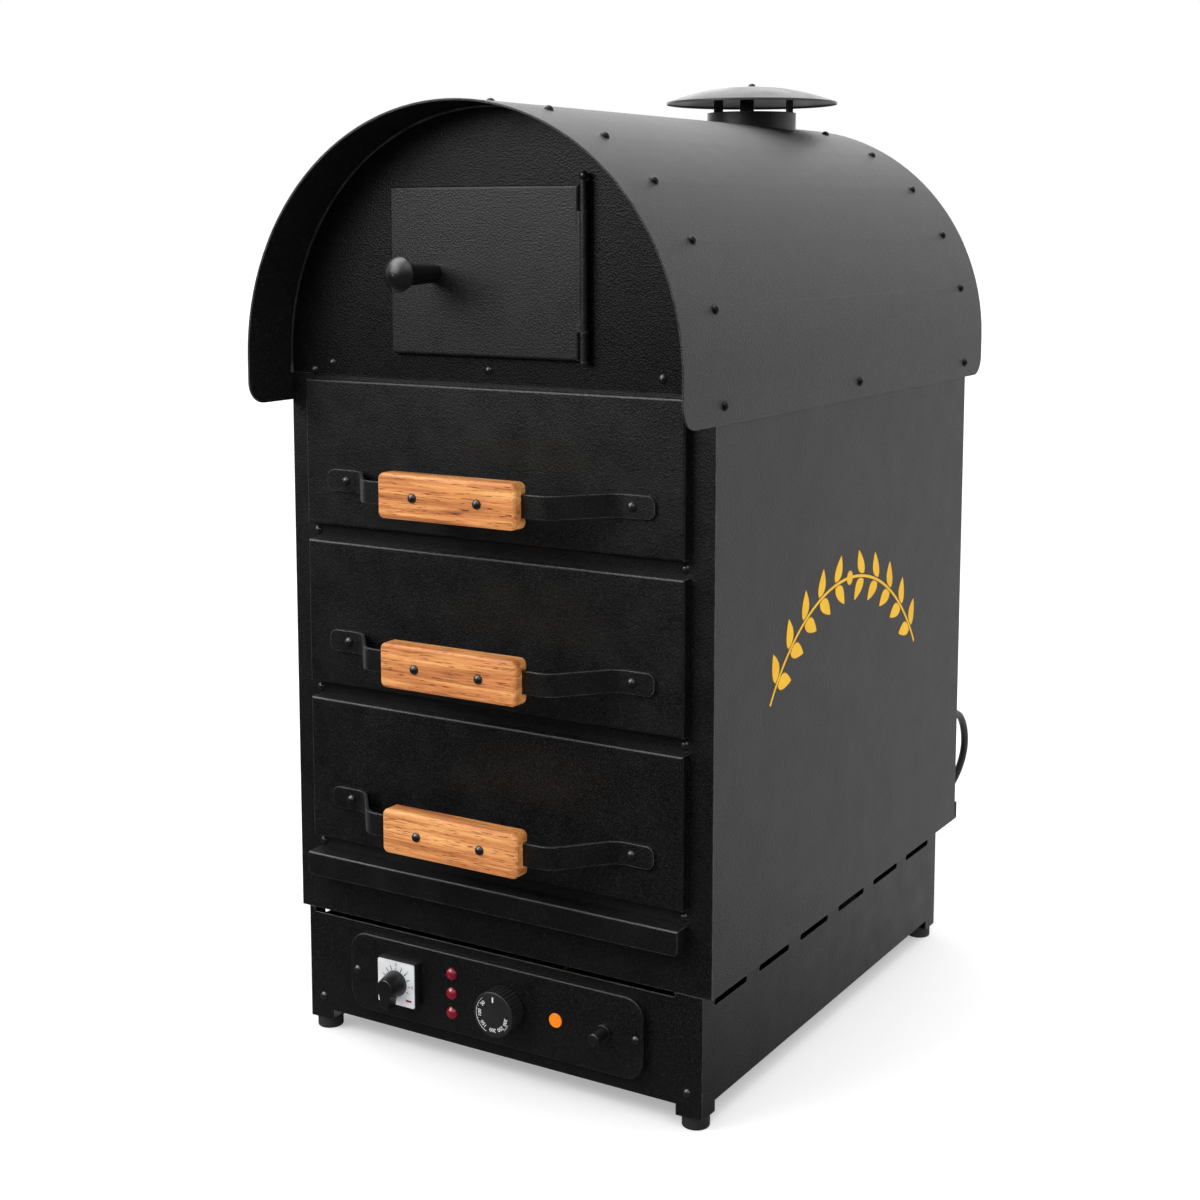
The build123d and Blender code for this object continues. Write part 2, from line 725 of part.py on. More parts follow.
def drawer_front(low):
    """Folded front pan, open at the back, drilled for the handle."""
    face_y = drawer_front_y - front_t
    with BuildPart() as pan:
        slab((-front_w / 2, face_y, low), (front_w / 2, drawer_front_y, low + front_h))
        fillet(pan.faces().sort_by(Axis.Y)[0].edges(), radius=front_round)
        slab((-front_w / 2 + sheet, face_y + sheet, low + sheet),
             (front_w / 2 - sheet, drawer_front_y, low + front_h - sheet), Mode.SUBTRACT)
        drill(drawer_rivet_places(low)[0], rivet_shank_r)
    return pan


def drawer_tray(low):
    """Open potato tray of welded sheets with an outward rim, on the plate that closes the front pan."""
    half_tray = tray_w / 2
    half_rim = half_tray + tray_rim
    floor_x = half_tray - liner_sheet - weld_gap
    z = low + tray_rise
    top_z = z + tray_h
    start_y = drawer_front_y + weld_gap
    end_y = drawer_front_y + tray_l
    wall_y = end_y - liner_sheet
    with BuildPart() as tray:
        slab((-front_w / 2 + sheet, drawer_front_y - sheet, low + sheet),
             (front_w / 2 - sheet, drawer_front_y, low + front_h - sheet))
        slab((-floor_x, start_y, z), (floor_x, wall_y - weld_gap, z + liner_sheet))
        for side in (-1, 1):
            inner, outer = sorted((side * (half_tray - liner_sheet), side * half_tray))
            slab((inner, start_y, z), (outer, wall_y - weld_gap, top_z))
            inner, outer = sorted((side * half_tray, side * half_rim))
            slab((inner, start_y, top_z - liner_sheet), (outer, wall_y - weld_gap, top_z))
        slab((-half_tray, wall_y, z), (half_tray, end_y, top_z))
        slab((-half_rim, wall_y, top_z - liner_sheet), (half_rim, end_y + tray_rim, top_z))
    return tray


def drawer_strap(low):
    """Flat bar bent into a bridge handle with two rounded, drilled tabs."""
    z = low + handle_rise
    tab_y = drawer_front_y - front_t - strap_t / 2
    bridge_y = drawer_front_y - front_t - strap_reach
    right = [(strap_grip_x, bridge_y), (strap_bend_x, tab_y), (strap_end_x, tab_y)]
    left = [(-x, y) for x, y in reversed(right)]
    with BuildPart() as strap:
        with BuildSketch(Plane.XY.offset(z - strap_w / 2)):
            with BuildLine():
                FilletPolyline(*left, *right, radius=strap_bend_r)
            trace(line_width=strap_t)
        extrude(amount=strap_w)
        ends = strap.edges().filter_by(Axis.Y).group_by(Axis.X)
        fillet(ends[0] + ends[-1], radius=tab_round)
        tabs, grips = drawer_rivet_places(low)
        drill(tabs + grips, rivet_shank_r)
    return strap


def drawer_grip(low):
    """Wooden grip with rounded edges and a groove at the back that takes the strap."""
    z = low + handle_rise
    face_y = front_y - grip_face
    with BuildPart() as grip:
        slab((-grip_l / 2, face_y, z - grip_h / 2), (grip_l / 2, face_y + grip_t, z + grip_h / 2))
        fillet(grip.edges().filter_by(Axis.Y), radius=grip_corner_r)
        fillet(grip.faces().sort_by(Axis.Y)[0].edges(), radius=grip_round)
        fillet(grip.faces().sort_by(Axis.Y)[-1].edges(), radius=front_round)
        slab((-grip_l / 2, face_y + grip_skin, z - strap_w / 2 - hole_gap),
             (grip_l / 2, face_y + grip_t, z + strap_w / 2 + hole_gap), Mode.SUBTRACT)
        drill(drawer_rivet_places(low)[1], rivet_shank_r)
    return grip


def drawer_rivets(low):
    """Two rivets that hold the strap to the front and two that hold the grip to the strap."""
    tabs, grips = drawer_rivet_places(low)
    with BuildPart() as rivets:
        with Locations(*tabs):
            add(dome_fastener(rivet_head_r, rivet_head_h, rivet_shank_r, strap_t + sheet))
        with Locations(*grips):
            add(dome_fastener(rivet_head_r, rivet_head_h, rivet_shank_r, grip_skin + strap_t))
    return rivets


for index, drawer in enumerate(drawer_names):
    edge = drawer_low(index)
    save(drawer_front(edge), f"{drawer}_front")
    save(drawer_tray(edge), f"{drawer}_tray")
    save(drawer_strap(edge), f"{drawer}_strap")
    save(drawer_grip(edge), f"{drawer}_grip")
    save(drawer_rivets(edge), f"{drawer}_rivets")

# ---- crumb tray with its ledge ---------------------------------------------------------
lip_z = cabinet_z + lip_top
with BuildPart() as crumb_tray:
    lip_y = drawer_front_y - lip_d
    slab((-lip_w / 2, lip_y, lip_z - lip_h), (lip_w / 2, drawer_front_y, lip_z))
    fillet(crumb_tray.faces().sort_by(Axis.Y)[0].edges().sort_by(Axis.Z)[-1:], radius=front_round)
    low_corners = crumb_tray.edges().filter_by(Axis.Y).group_by(Axis.Z)[0]
    fillet(low_corners, radius=lip_round)
    slab((-lip_w / 2 + sheet, lip_y + sheet, lip_z - lip_h),
         (lip_w / 2 - sheet, drawer_front_y - sheet, lip_z - sheet), Mode.SUBTRACT)
    slab((-crumb_w / 2, drawer_front_y, crumb_z),
         (crumb_w / 2, drawer_front_y + crumb_l, crumb_z + crumb_h))
    slab((-crumb_w / 2 + liner_sheet, drawer_front_y + liner_sheet, crumb_z + liner_sheet),
         (crumb_w / 2 - liner_sheet, drawer_front_y + crumb_l - liner_sheet, crumb_z + crumb_h),
         Mode.SUBTRACT)
save(crumb_tray, "crumb_tray")

# ---- hood: shell and arched end panels -------------------------------------------------
with BuildPart() as hood_shell:
    with BuildSketch(facing(front_y - hood_front)):
        with Locations((0, spring_z)):
            Circle(hood_out_r)
            Circle(hood_in_r, mode=Mode.SUBTRACT)
        rectangle((-hood_out_r, spring_z - hood_out_r), (hood_out_r, spring_z), Mode.SUBTRACT)
        for x in (-hood_out_r, hood_in_r):
            rectangle((x, spring_z - hood_leg), (x + hood_sheet, spring_z))
    extrude(amount=-(hood_front + cabinet_d + hood_rear))
    fillet(hood_shell.edges().filter_by(Axis.X).group_by(Axis.Z)[0], radius=hood_corner_r)
    rod((0, collar_y, spring_z), (0, 0, 1), collar_r + hole_gap, 2 * hood_out_r, Mode.SUBTRACT)
    drill(hood_rivets, rivet_shank_r)
save(hood_shell, "hood_shell")


def arch_panel(y, out, screws, door_window):
    """Half-round end panel: its sheet stands outside the face at y and its flange runs inward."""
    with BuildPart() as arch:
        with BuildSketch(facing(y)):
            with Locations((0, spring_z)):
                Circle(half_w)
            rectangle((-half_w, spring_z - half_w), (half_w, spring_z), Mode.SUBTRACT)
            rectangle((-half_w, spring_z - arch_foot), (half_w, spring_z))
            if door_window:
                rectangle(*door_window, Mode.SUBTRACT)
        extrude(amount=out * sheet)
        with BuildSketch(facing(y)):
            with Locations((0, spring_z)):
                Circle(half_w)
                Circle(half_w - sheet, mode=Mode.SUBTRACT)
            rectangle((-half_w, spring_z - half_w), (half_w, spring_z), Mode.SUBTRACT)
        extrude(amount=-out * arch_flange)
        drill(hood_rivets, rivet_shank_r)
        drill(screws, screw_shank_r)
    return arch


window = ((door_left + door_lap, spring_z + door_low + door_lap),
          (door_right - door_lap, spring_z + door_high - door_lap))
front_arch_panel = arch_panel(front_y, 1, arch_screws, window)
save(front_arch_panel, "front_arch_panel")

rear_arch_panel = arch_panel(back_y, -1, rear_arch_screws, None)
save(rear_arch_panel, "rear_arch_panel")

# ---- hood door, hinge, knob and catch --------------------------------------------------
hinge_low_z = spring_z + hinge_low
hinge_high_z = spring_z + hinge_high
door_knuckle_z = hinge_low_z + hinge_knuckle + hinge_gap
door_knuckle_l = hinge_high - hinge_low - 2 * (hinge_knuckle + hinge_gap)
bore_r = hinge_pin_r + run_gap

with BuildPart() as hood_door:
    slab((door_left, door_face_y, spring_z + door_low),
         (door_right, door_face_y + door_t, spring_z + door_high))
    fillet(hood_door.faces().sort_by(Axis.Y)[0].edges(), radius=door_round)
    slab((door_left + sheet, door_face_y + sheet, spring_z + door_low + sheet),
         (door_right - sheet, door_face_y + door_t, spring_z + door_high - sheet), Mode.SUBTRACT)
    rod((hinge_x, hinge_y, door_knuckle_z), (0, 0, 1), hinge_r, door_knuckle_l)
    slab((door_right - sheet, door_face_y, door_knuckle_z),
         (hinge_x, door_face_y + sheet, door_knuckle_z + door_knuckle_l))
    rod((hinge_x, hinge_y, hinge_low_z), (0, 0, 1), bore_r, hinge_high, Mode.SUBTRACT)
    rod((knob_x, door_face_y, knob_z), (0, 1, 0), knob_stud_r + hole_gap, sheet, Mode.SUBTRACT)
save(hood_door, "hood_door")

with BuildPart() as hinge_knuckles:
    for z in (hinge_low_z, hinge_high_z - hinge_knuckle):
        rod((hinge_x, hinge_y, z), (0, 0, 1), hinge_r, hinge_knuckle)
        slab((hinge_x - sheet, hinge_y, z), (hinge_x + sheet, arch_face_y, z + hinge_knuckle))
        rod((hinge_x, hinge_y, z), (0, 0, 1), bore_r, hinge_knuckle, Mode.SUBTRACT)
save(hinge_knuckles, "hinge_knuckles")

with BuildPart() as hinge_pin:
    rod((hinge_x, hinge_y, hinge_low_z), (0, 0, 1), hinge_pin_r, hinge_high - hinge_low + hinge_ball_r)
    rod((hinge_x, hinge_y, hinge_low_z - sheet), (0, 0, 1), hinge_ball_r, sheet)
    with Locations((hinge_x, hinge_y, hinge_high_z + hinge_ball_r)):
        Sphere(hinge_ball_r)
save(hinge_pin, "hinge_pin")

with BuildPart() as door_knob:
    knob_foot = (knob_x, door_face_y, knob_z)
    crown = knob_stem_l + knob_head_t / 3
    with BuildSketch(Plane(origin=knob_foot, x_dir=(1, 0, 0), z_dir=(0, 0, -1))):
        with BuildLine():
            Polyline((0, crown), (0, -2 * sheet), (knob_stud_r, -2 * sheet), (knob_stud_r, 0),
                     (knob_neck_r, 0), (knob_stem_r, knob_stem_l))
            Line((knob_stem_r, knob_stem_l), (knob_head_r - sheet, knob_stem_l))
            Line((knob_head_r - sheet, knob_stem_l), (knob_head_r, crown))
            cap_arc(knob_head_r, crown, knob_stem_l + knob_head_t)
            Line((0, knob_stem_l + knob_head_t), (0, crown))
        make_face()
    revolve(axis=Axis(knob_foot, front_axis))
save(door_knob, "door_knob")

with BuildPart() as door_catch:
    catch_x = door_left + door_lap
    slab((catch_x, door_face_y + sheet + shut_gap, knob_z - catch_h / 2),
         (catch_x + catch_w, door_face_y + sheet + shut_gap + catch_d, knob_z + catch_h / 2))
save(door_catch, "door_catch")

# ---- cowl: collar, struts and cap ------------------------------------------------------
dome_h = cap_h - cap_lip
dome_r = (cap_r ** 2 + dome_h ** 2) / (2 * dome_h)


def dome_z(radius, thickness=0.0):
    """Height of the cap's dome, or of its underside, at a radius from its axis."""
    return cap_top_z - dome_r + math.sqrt((dome_r - thickness) ** 2 - radius ** 2)


with BuildPart() as flue_collar:
    collar_low = hood_top_z - collar_sink
    rod((0, collar_y, collar_low), (0, 0, 1), collar_r, collar_sink + collar_rise)
    rod((0, collar_y, collar_low), (0, 0, 1), collar_r - sheet, collar_sink + collar_rise, Mode.SUBTRACT)
save(flue_collar, "flue_collar")

with BuildPart() as cowl_struts:
    strut_out = math.sqrt((collar_r - sheet) ** 2 - (strut_w / 2) ** 2)
    strut_low = hood_top_z + collar_rise - strut_lap
    strut_h = dome_z(collar_r - sheet, sheet) - strut_low
    for n in range(strut_count):
        turn = math.radians(strut_angle + 360 / strut_count * n)
        out = (math.sin(turn), -math.cos(turn), 0)
        place = Plane(origin=(0, collar_y, strut_low), x_dir=out, z_dir=(0, 0, 1))
        with Locations(place * Location((strut_out, 0, 0))):
            Box(strut_t, strut_w, strut_h, align=(Align.MAX, Align.CENTER, Align.MIN))
save(cowl_struts, "cowl_struts")

with BuildPart() as cowl_cap:
    lip_r = cap_r - sheet
    with BuildSketch(facing(collar_y)):
        with BuildLine():
            ThreePointArc((0, dome_z(0)), (cap_r / 2, dome_z(cap_r / 2)), (cap_r, dome_z(cap_r)))
            Polyline((cap_r, dome_z(cap_r)), (cap_r, cap_rim_z), (lip_r, cap_rim_z),
                     (lip_r, dome_z(lip_r, sheet)))
            ThreePointArc((lip_r, dome_z(lip_r, sheet)), (cap_r / 2, dome_z(cap_r / 2, sheet)),
                          (0, dome_z(0, sheet)))
            Line((0, dome_z(0, sheet)), (0, dome_z(0)))
        make_face()
    revolve(axis=Axis((0, collar_y, 0), (0, 0, 1)))
    rod((0, collar_y, cap_top_z), (0, 0, -1), rivet_shank_r + hole_gap, 2 * sheet, Mode.SUBTRACT)
save(cowl_cap, "cowl_cap")

# ---- fasteners -------------------------------------------------------------------------
with BuildPart() as rivets:
    with Locations(*hood_rivets):
        add(dome_fastener(rivet_head_r, rivet_head_h, rivet_shank_r, hood_sheet + hood_gap + sheet))
    with Locations((0, collar_y, cap_top_z)):
        add(dome_fastener(rivet_head_r, rivet_head_h, rivet_shank_r, sheet))
save(rivets, "rivets")

with BuildPart() as dome_screws:
    with Locations(*frame_screws, *plinth_screws, *back_screws):
        add(dome_fastener(screw_head_r, screw_head_h, screw_shank_r, sheet))
    with Locations(*arch_screws, *rear_arch_screws):
        add(dome_fastener(screw_head_r, screw_head_h, screw_shank_r, 2 * sheet))
    with Locations(*panel_screws):
        add(dome_fastener(screw_head_r, screw_head_h, screw_shank_r, panel_t + sheet))
save(dome_screws, "dome_screws")

# ---- control panel ---------------------------------------------------------------------
panel_back_y = panel_face_y + sheet
red_places = [(red_x, panel_z + red_pitch * (n - (red_count - 1) / 2)) for n in range(red_count)]


def panel_hole(x, z, radius):
    """Cut a round hole through the control panel."""
    rod((x, panel_face_y, z), back_axis, radius, sheet, Mode.SUBTRACT)


with BuildPart() as control_panel:
    with BuildSketch(facing(front_y)):
        with Locations((0, panel_z)):
            RectangleRounded(panel_w, panel_h, panel_round)
    extrude(amount=panel_t)
    fillet(control_panel.faces().sort_by(Axis.Y)[0].edges(), radius=sheet)
    with BuildSketch(facing(front_y)):
        with Locations((0, panel_z)):
            RectangleRounded(panel_w - 2 * sheet, panel_h - 2 * sheet, panel_round - sheet)
    extrude(amount=panel_t - sheet, mode=Mode.SUBTRACT)
    panel_hole(switch_x, panel_z, switch_neck_r + hole_gap)
    panel_hole(thermo_x, panel_z, thermo_shaft_r + opening_gap)
    panel_hole(orange_x, panel_z, lens_neck_r + hole_gap)
    panel_hole(button_x, panel_z, bushing_r + hole_gap)
    for x, z in red_places:
        panel_hole(x, z, lens_neck_r + hole_gap)
    drill(panel_screws, screw_shank_r)
save(control_panel, "control_panel")

with BuildPart() as switch_body:
    half_bezel = switch_size / 2
    half_body = switch_body_size / 2
    bezel_y = panel_face_y - switch_bezel_t
    slab((switch_x - half_bezel, bezel_y, panel_z - half_bezel),
         (switch_x + half_bezel, panel_face_y, panel_z + half_bezel))
    fillet(switch_body.edges().filter_by(Axis.Y), radius=front_round)
    rod((switch_x, panel_face_y, panel_z), back_axis, switch_neck_r, sheet)
    slab((switch_x - half_body, panel_back_y, panel_z - half_body),
         (switch_x + half_body, panel_back_y + switch_body_l, panel_z + half_body))
    rod((switch_x, bezel_y, panel_z), back_axis, switch_shaft_r + run_gap, switch_shaft_l + slide_gap,
        Mode.SUBTRACT)
save(switch_body, "switch_body")

plate_y = bezel_y - switch_plate_t
with BuildPart() as switch_plate:
    with BuildSketch(facing(bezel_y)):
        with Locations((switch_x, panel_z)):
            RectangleRounded(switch_plate_size, switch_plate_size, front_round)
            Circle(switch_shaft_r + opening_gap, mode=Mode.SUBTRACT)
    extrude(amount=switch_plate_t)
save(switch_plate, "switch_plate")

with BuildPart() as switch_knob:
    hub_y = plate_y - slide_gap
    with Locations(toward((switch_x, hub_y, panel_z), front_axis)):
        Cylinder(switch_hub_r, switch_hub_t, align=(Align.CENTER, Align.CENTER, Align.MIN))
    with Locations(toward((switch_x, hub_y - switch_hub_t, panel_z), front_axis)):
        Cone(switch_hub_r, switch_grip_r, switch_knob_l - switch_hub_t,
             align=(Align.CENTER, Align.CENTER, Align.MIN))
    with BuildSketch(facing(hub_y - switch_knob_l / 3)):
        with Locations((switch_x, panel_z)):
            Trapezoid(switch_lever_w * 2, switch_lever_l, 80,
                      align=(Align.CENTER, Align.MIN), rotation=180)
    extrude(amount=switch_knob_l * 2 / 3)
    fillet(switch_knob.faces().sort_by(Axis.Y)[0].edges(), radius=switch_knob_round)
    rod((switch_x, hub_y, panel_z), back_axis, switch_shaft_r,
        switch_shaft_l + slide_gap + switch_plate_t)
save(switch_knob, "switch_knob")

with BuildPart() as red_lamps:
    with Locations(*[toward((x, panel_face_y, z), front_axis) for x, z in red_places]):
        add(dome_fastener(lens_r, lens_h, lens_neck_r, sheet))
    for x, z in red_places:
        rod((x, panel_back_y, z), back_axis, lamp_body_r, lamp_body_l)
save(red_lamps, "red_lamps")

with BuildPart() as orange_lamp:
    rod((orange_x, panel_face_y, panel_z), front_axis, orange_r, orange_t)
    fillet(orange_lamp.edges().sort_by(Axis.Y)[0], radius=orange_t / 2)
    rod((orange_x, panel_face_y, panel_z), back_axis, lens_neck_r, sheet)
    rod((orange_x, panel_back_y, panel_z), back_axis, lamp_body_r, lamp_body_l)
save(orange_lamp, "orange_lamp")

with BuildPart() as thermostat_body:
    half_thermo = thermo_body_w / 2
    slab((thermo_x - half_thermo, panel_back_y, panel_z - half_thermo),
         (thermo_x + half_thermo, panel_back_y + thermo_body_l, panel_z + half_thermo))
    rod((thermo_x, panel_back_y, panel_z), back_axis, thermo_shaft_r + run_gap,
        thermo_shaft_l + slide_gap, Mode.SUBTRACT)
save(thermostat_body, "thermostat_body")

with BuildPart() as thermostat_knob:
    thermo_back = (thermo_x, panel_face_y - shut_gap, panel_z)
    rod(thermo_back, front_axis, thermo_r, thermo_l)
    fillet(thermostat_knob.edges().sort_by(Axis.Y)[0], radius=sheet)
    with Locations(toward(thermo_back, front_axis)):
        with PolarLocations(thermo_r, knurl_count):
            Cylinder(knurl_r, thermo_l - knurl_r, align=(Align.CENTER, Align.CENTER, Align.MIN),
                     mode=Mode.SUBTRACT)
    rod(thermo_back, back_axis, thermo_shaft_r, shut_gap + sheet + thermo_shaft_l)
save(thermostat_knob, "thermostat_knob")

with BuildPart() as button_bushing:
    rod((button_x, panel_face_y, panel_z), front_axis, bushing_flange_r, bushing_flange_t)
    fillet(button_bushing.edges().sort_by(Axis.Y)[0], radius=sheet / 2)
    rod((button_x, panel_face_y, panel_z), back_axis, bushing_r, bushing_l)
    rod((button_x, panel_face_y - bushing_flange_t, panel_z), back_axis, button_r + run_gap,
        bushing_flange_t + bushing_l - bushing_end, Mode.SUBTRACT)
    rod((button_x, panel_face_y, panel_z), back_axis, button_stem_r + run_gap, bushing_l, Mode.SUBTRACT)
save(button_bushing, "button_bushing")

with BuildPart() as push_button:
    rod((button_x, panel_face_y - button_out, panel_z), back_axis, button_r, button_out + button_back)
    fillet(push_button.edges().sort_by(Axis.Y)[0], radius=sheet)
    rod((button_x, panel_face_y, panel_z), back_axis, button_stem_r, bushing_l)
save(push_button, "push_button")

with BuildPart() as button_spring:
    coil_low = panel_face_y + button_back + spring_wire_r
    coil_l = bushing_l - bushing_end - button_back - 2 * spring_wire_r
    with BuildLine():
        wire = Helix(coil_l / spring_turns, coil_l, spring_r, center=(button_x, coil_low, panel_z),
                     direction=back_axis)
    with BuildSketch(toward(wire @ 0, wire % 0)):
        Circle(spring_wire_r)
    sweep()
save(button_spring, "button_spring")

# ---- mains lead ------------------------------------------------------------------------
with BuildPart() as terminal_block:
    slab(terminal_low, terminal_high)
save(terminal_block, "terminal_block")

with BuildPart() as wiring_loom:
    for path in wire_paths:
        add(wire_way(path, 0))
save(wiring_loom, "wiring_loom")

with BuildPart() as cable_gland:
    with Locations(toward((gland_x, back_y, gland_z), back_axis)):
        with BuildSketch(toward((gland_x, back_y, gland_z), back_axis)):
            RegularPolygon(gland_nut_r, 6)
    extrude(amount=gland_nut_l)
    with Locations(toward((gland_x, back_y + gland_nut_l, gland_z), back_axis)):
        Cone(gland_neck_r, cord_r + sheet, gland_l - gland_nut_l,
             align=(Align.CENTER, Align.CENTER, Align.MIN))
    rod((gland_x, back_y, gland_z), front_axis, gland_neck_r, sheet)
    rod((gland_x, back_y - sheet, gland_z), front_axis, gland_nut_r - sheet, gland_inner_l - sheet)
save(cable_gland, "cable_gland")

cord_points = [(gland_x + x, back_y + y, z) for x, y, z in cord_route]
cord_radii = bend_radii(cord_points)
coil_x_out = coil_x - coil_r
coil_mid_y = back_y + coil_y
plug_y = back_y + plug_gap

with BuildPart() as power_cord:
    add(pipe(cord_points, cord_radii, cord_r))
    rod((coil_x_out, coil_mid_y, plug_z), front_axis, cord_r,
        coil_mid_y - plug_y - plug_l - plug_collar_l)
save(power_cord, "power_cord")

with BuildPart() as cord_coil:
    with BuildSketch(Plane.XZ.offset(-coil_mid_y)):
        with Locations((coil_x + coil_r, coil_h / 2)):
            RectangleRounded(coil_w, coil_h, coil_h / 3)
    revolve(axis=Axis((coil_x, coil_mid_y, 0), (0, 0, 1)))
save(cord_coil, "cord_coil")

with BuildPart() as plug:
    with BuildSketch(Plane.XY):
        with Locations((coil_x_out, plug_y + plug_l / 2)):
            RectangleRounded(plug_w, plug_l, plug_round)
    extrude(amount=plug_t)
    fillet(plug.edges().group_by(Axis.Z)[-1], radius=front_round)
    rod((coil_x_out, plug_y + plug_l, plug_z), back_axis, cord_r + 2 * sheet, plug_collar_l)
    for pin_x, pin_share, pin_w, pin_d in plug_pins:
        x = coil_x_out + pin_x
        y = plug_y + plug_l * pin_share
        slab((x - pin_w / 2, y - pin_d / 2, plug_t), (x + pin_w / 2, y + pin_d / 2, plug_t + pin_l))
save(plug, "plug")

print("cord bend radii, mm:", [round(radius, 1) for radius in cord_radii])
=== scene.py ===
"""Looks of the baked potato oven: camera, finishes, mains lead, printed marks, ornament and studio.

Lengths are in metres unless a comment says otherwise.
"""
import bpy
import math
from mathutils import Euler, Matrix, Vector


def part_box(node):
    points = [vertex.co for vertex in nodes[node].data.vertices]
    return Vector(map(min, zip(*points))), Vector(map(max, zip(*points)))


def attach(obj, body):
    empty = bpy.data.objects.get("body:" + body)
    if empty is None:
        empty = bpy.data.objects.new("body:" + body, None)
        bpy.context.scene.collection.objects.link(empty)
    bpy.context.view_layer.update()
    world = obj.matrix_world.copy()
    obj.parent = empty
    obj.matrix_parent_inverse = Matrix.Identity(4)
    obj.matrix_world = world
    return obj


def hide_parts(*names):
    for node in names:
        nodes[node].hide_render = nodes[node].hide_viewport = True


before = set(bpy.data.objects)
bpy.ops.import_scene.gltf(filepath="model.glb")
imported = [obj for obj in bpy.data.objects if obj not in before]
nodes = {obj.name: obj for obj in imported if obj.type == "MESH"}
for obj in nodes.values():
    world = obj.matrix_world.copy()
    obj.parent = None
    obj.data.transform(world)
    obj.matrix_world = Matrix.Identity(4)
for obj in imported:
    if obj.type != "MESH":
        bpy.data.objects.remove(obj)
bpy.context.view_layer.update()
scene = bpy.context.scene

# ---------------------------------------------------------------- camera
camera_at = (1.0263, -1.7929, 0.8545)
camera_pitch = 7.131        # degrees down from level
camera_yaw = 31.131         # degrees to the left of straight ahead
lens = bpy.data.cameras.new("lens")
lens.sensor_width = 36.0    # millimetres, as is the next line
lens.lens = 56.775
lens.shift_y = -0.12
lens.clip_start = 0.05
lens.clip_end = 200.0
camera = bpy.data.objects.new("camera", lens)
camera.location = camera_at
camera.rotation_euler = Euler((math.radians(90 - camera_pitch), 0.0, math.radians(camera_yaw)))
scene.collection.objects.link(camera)
scene.camera = camera


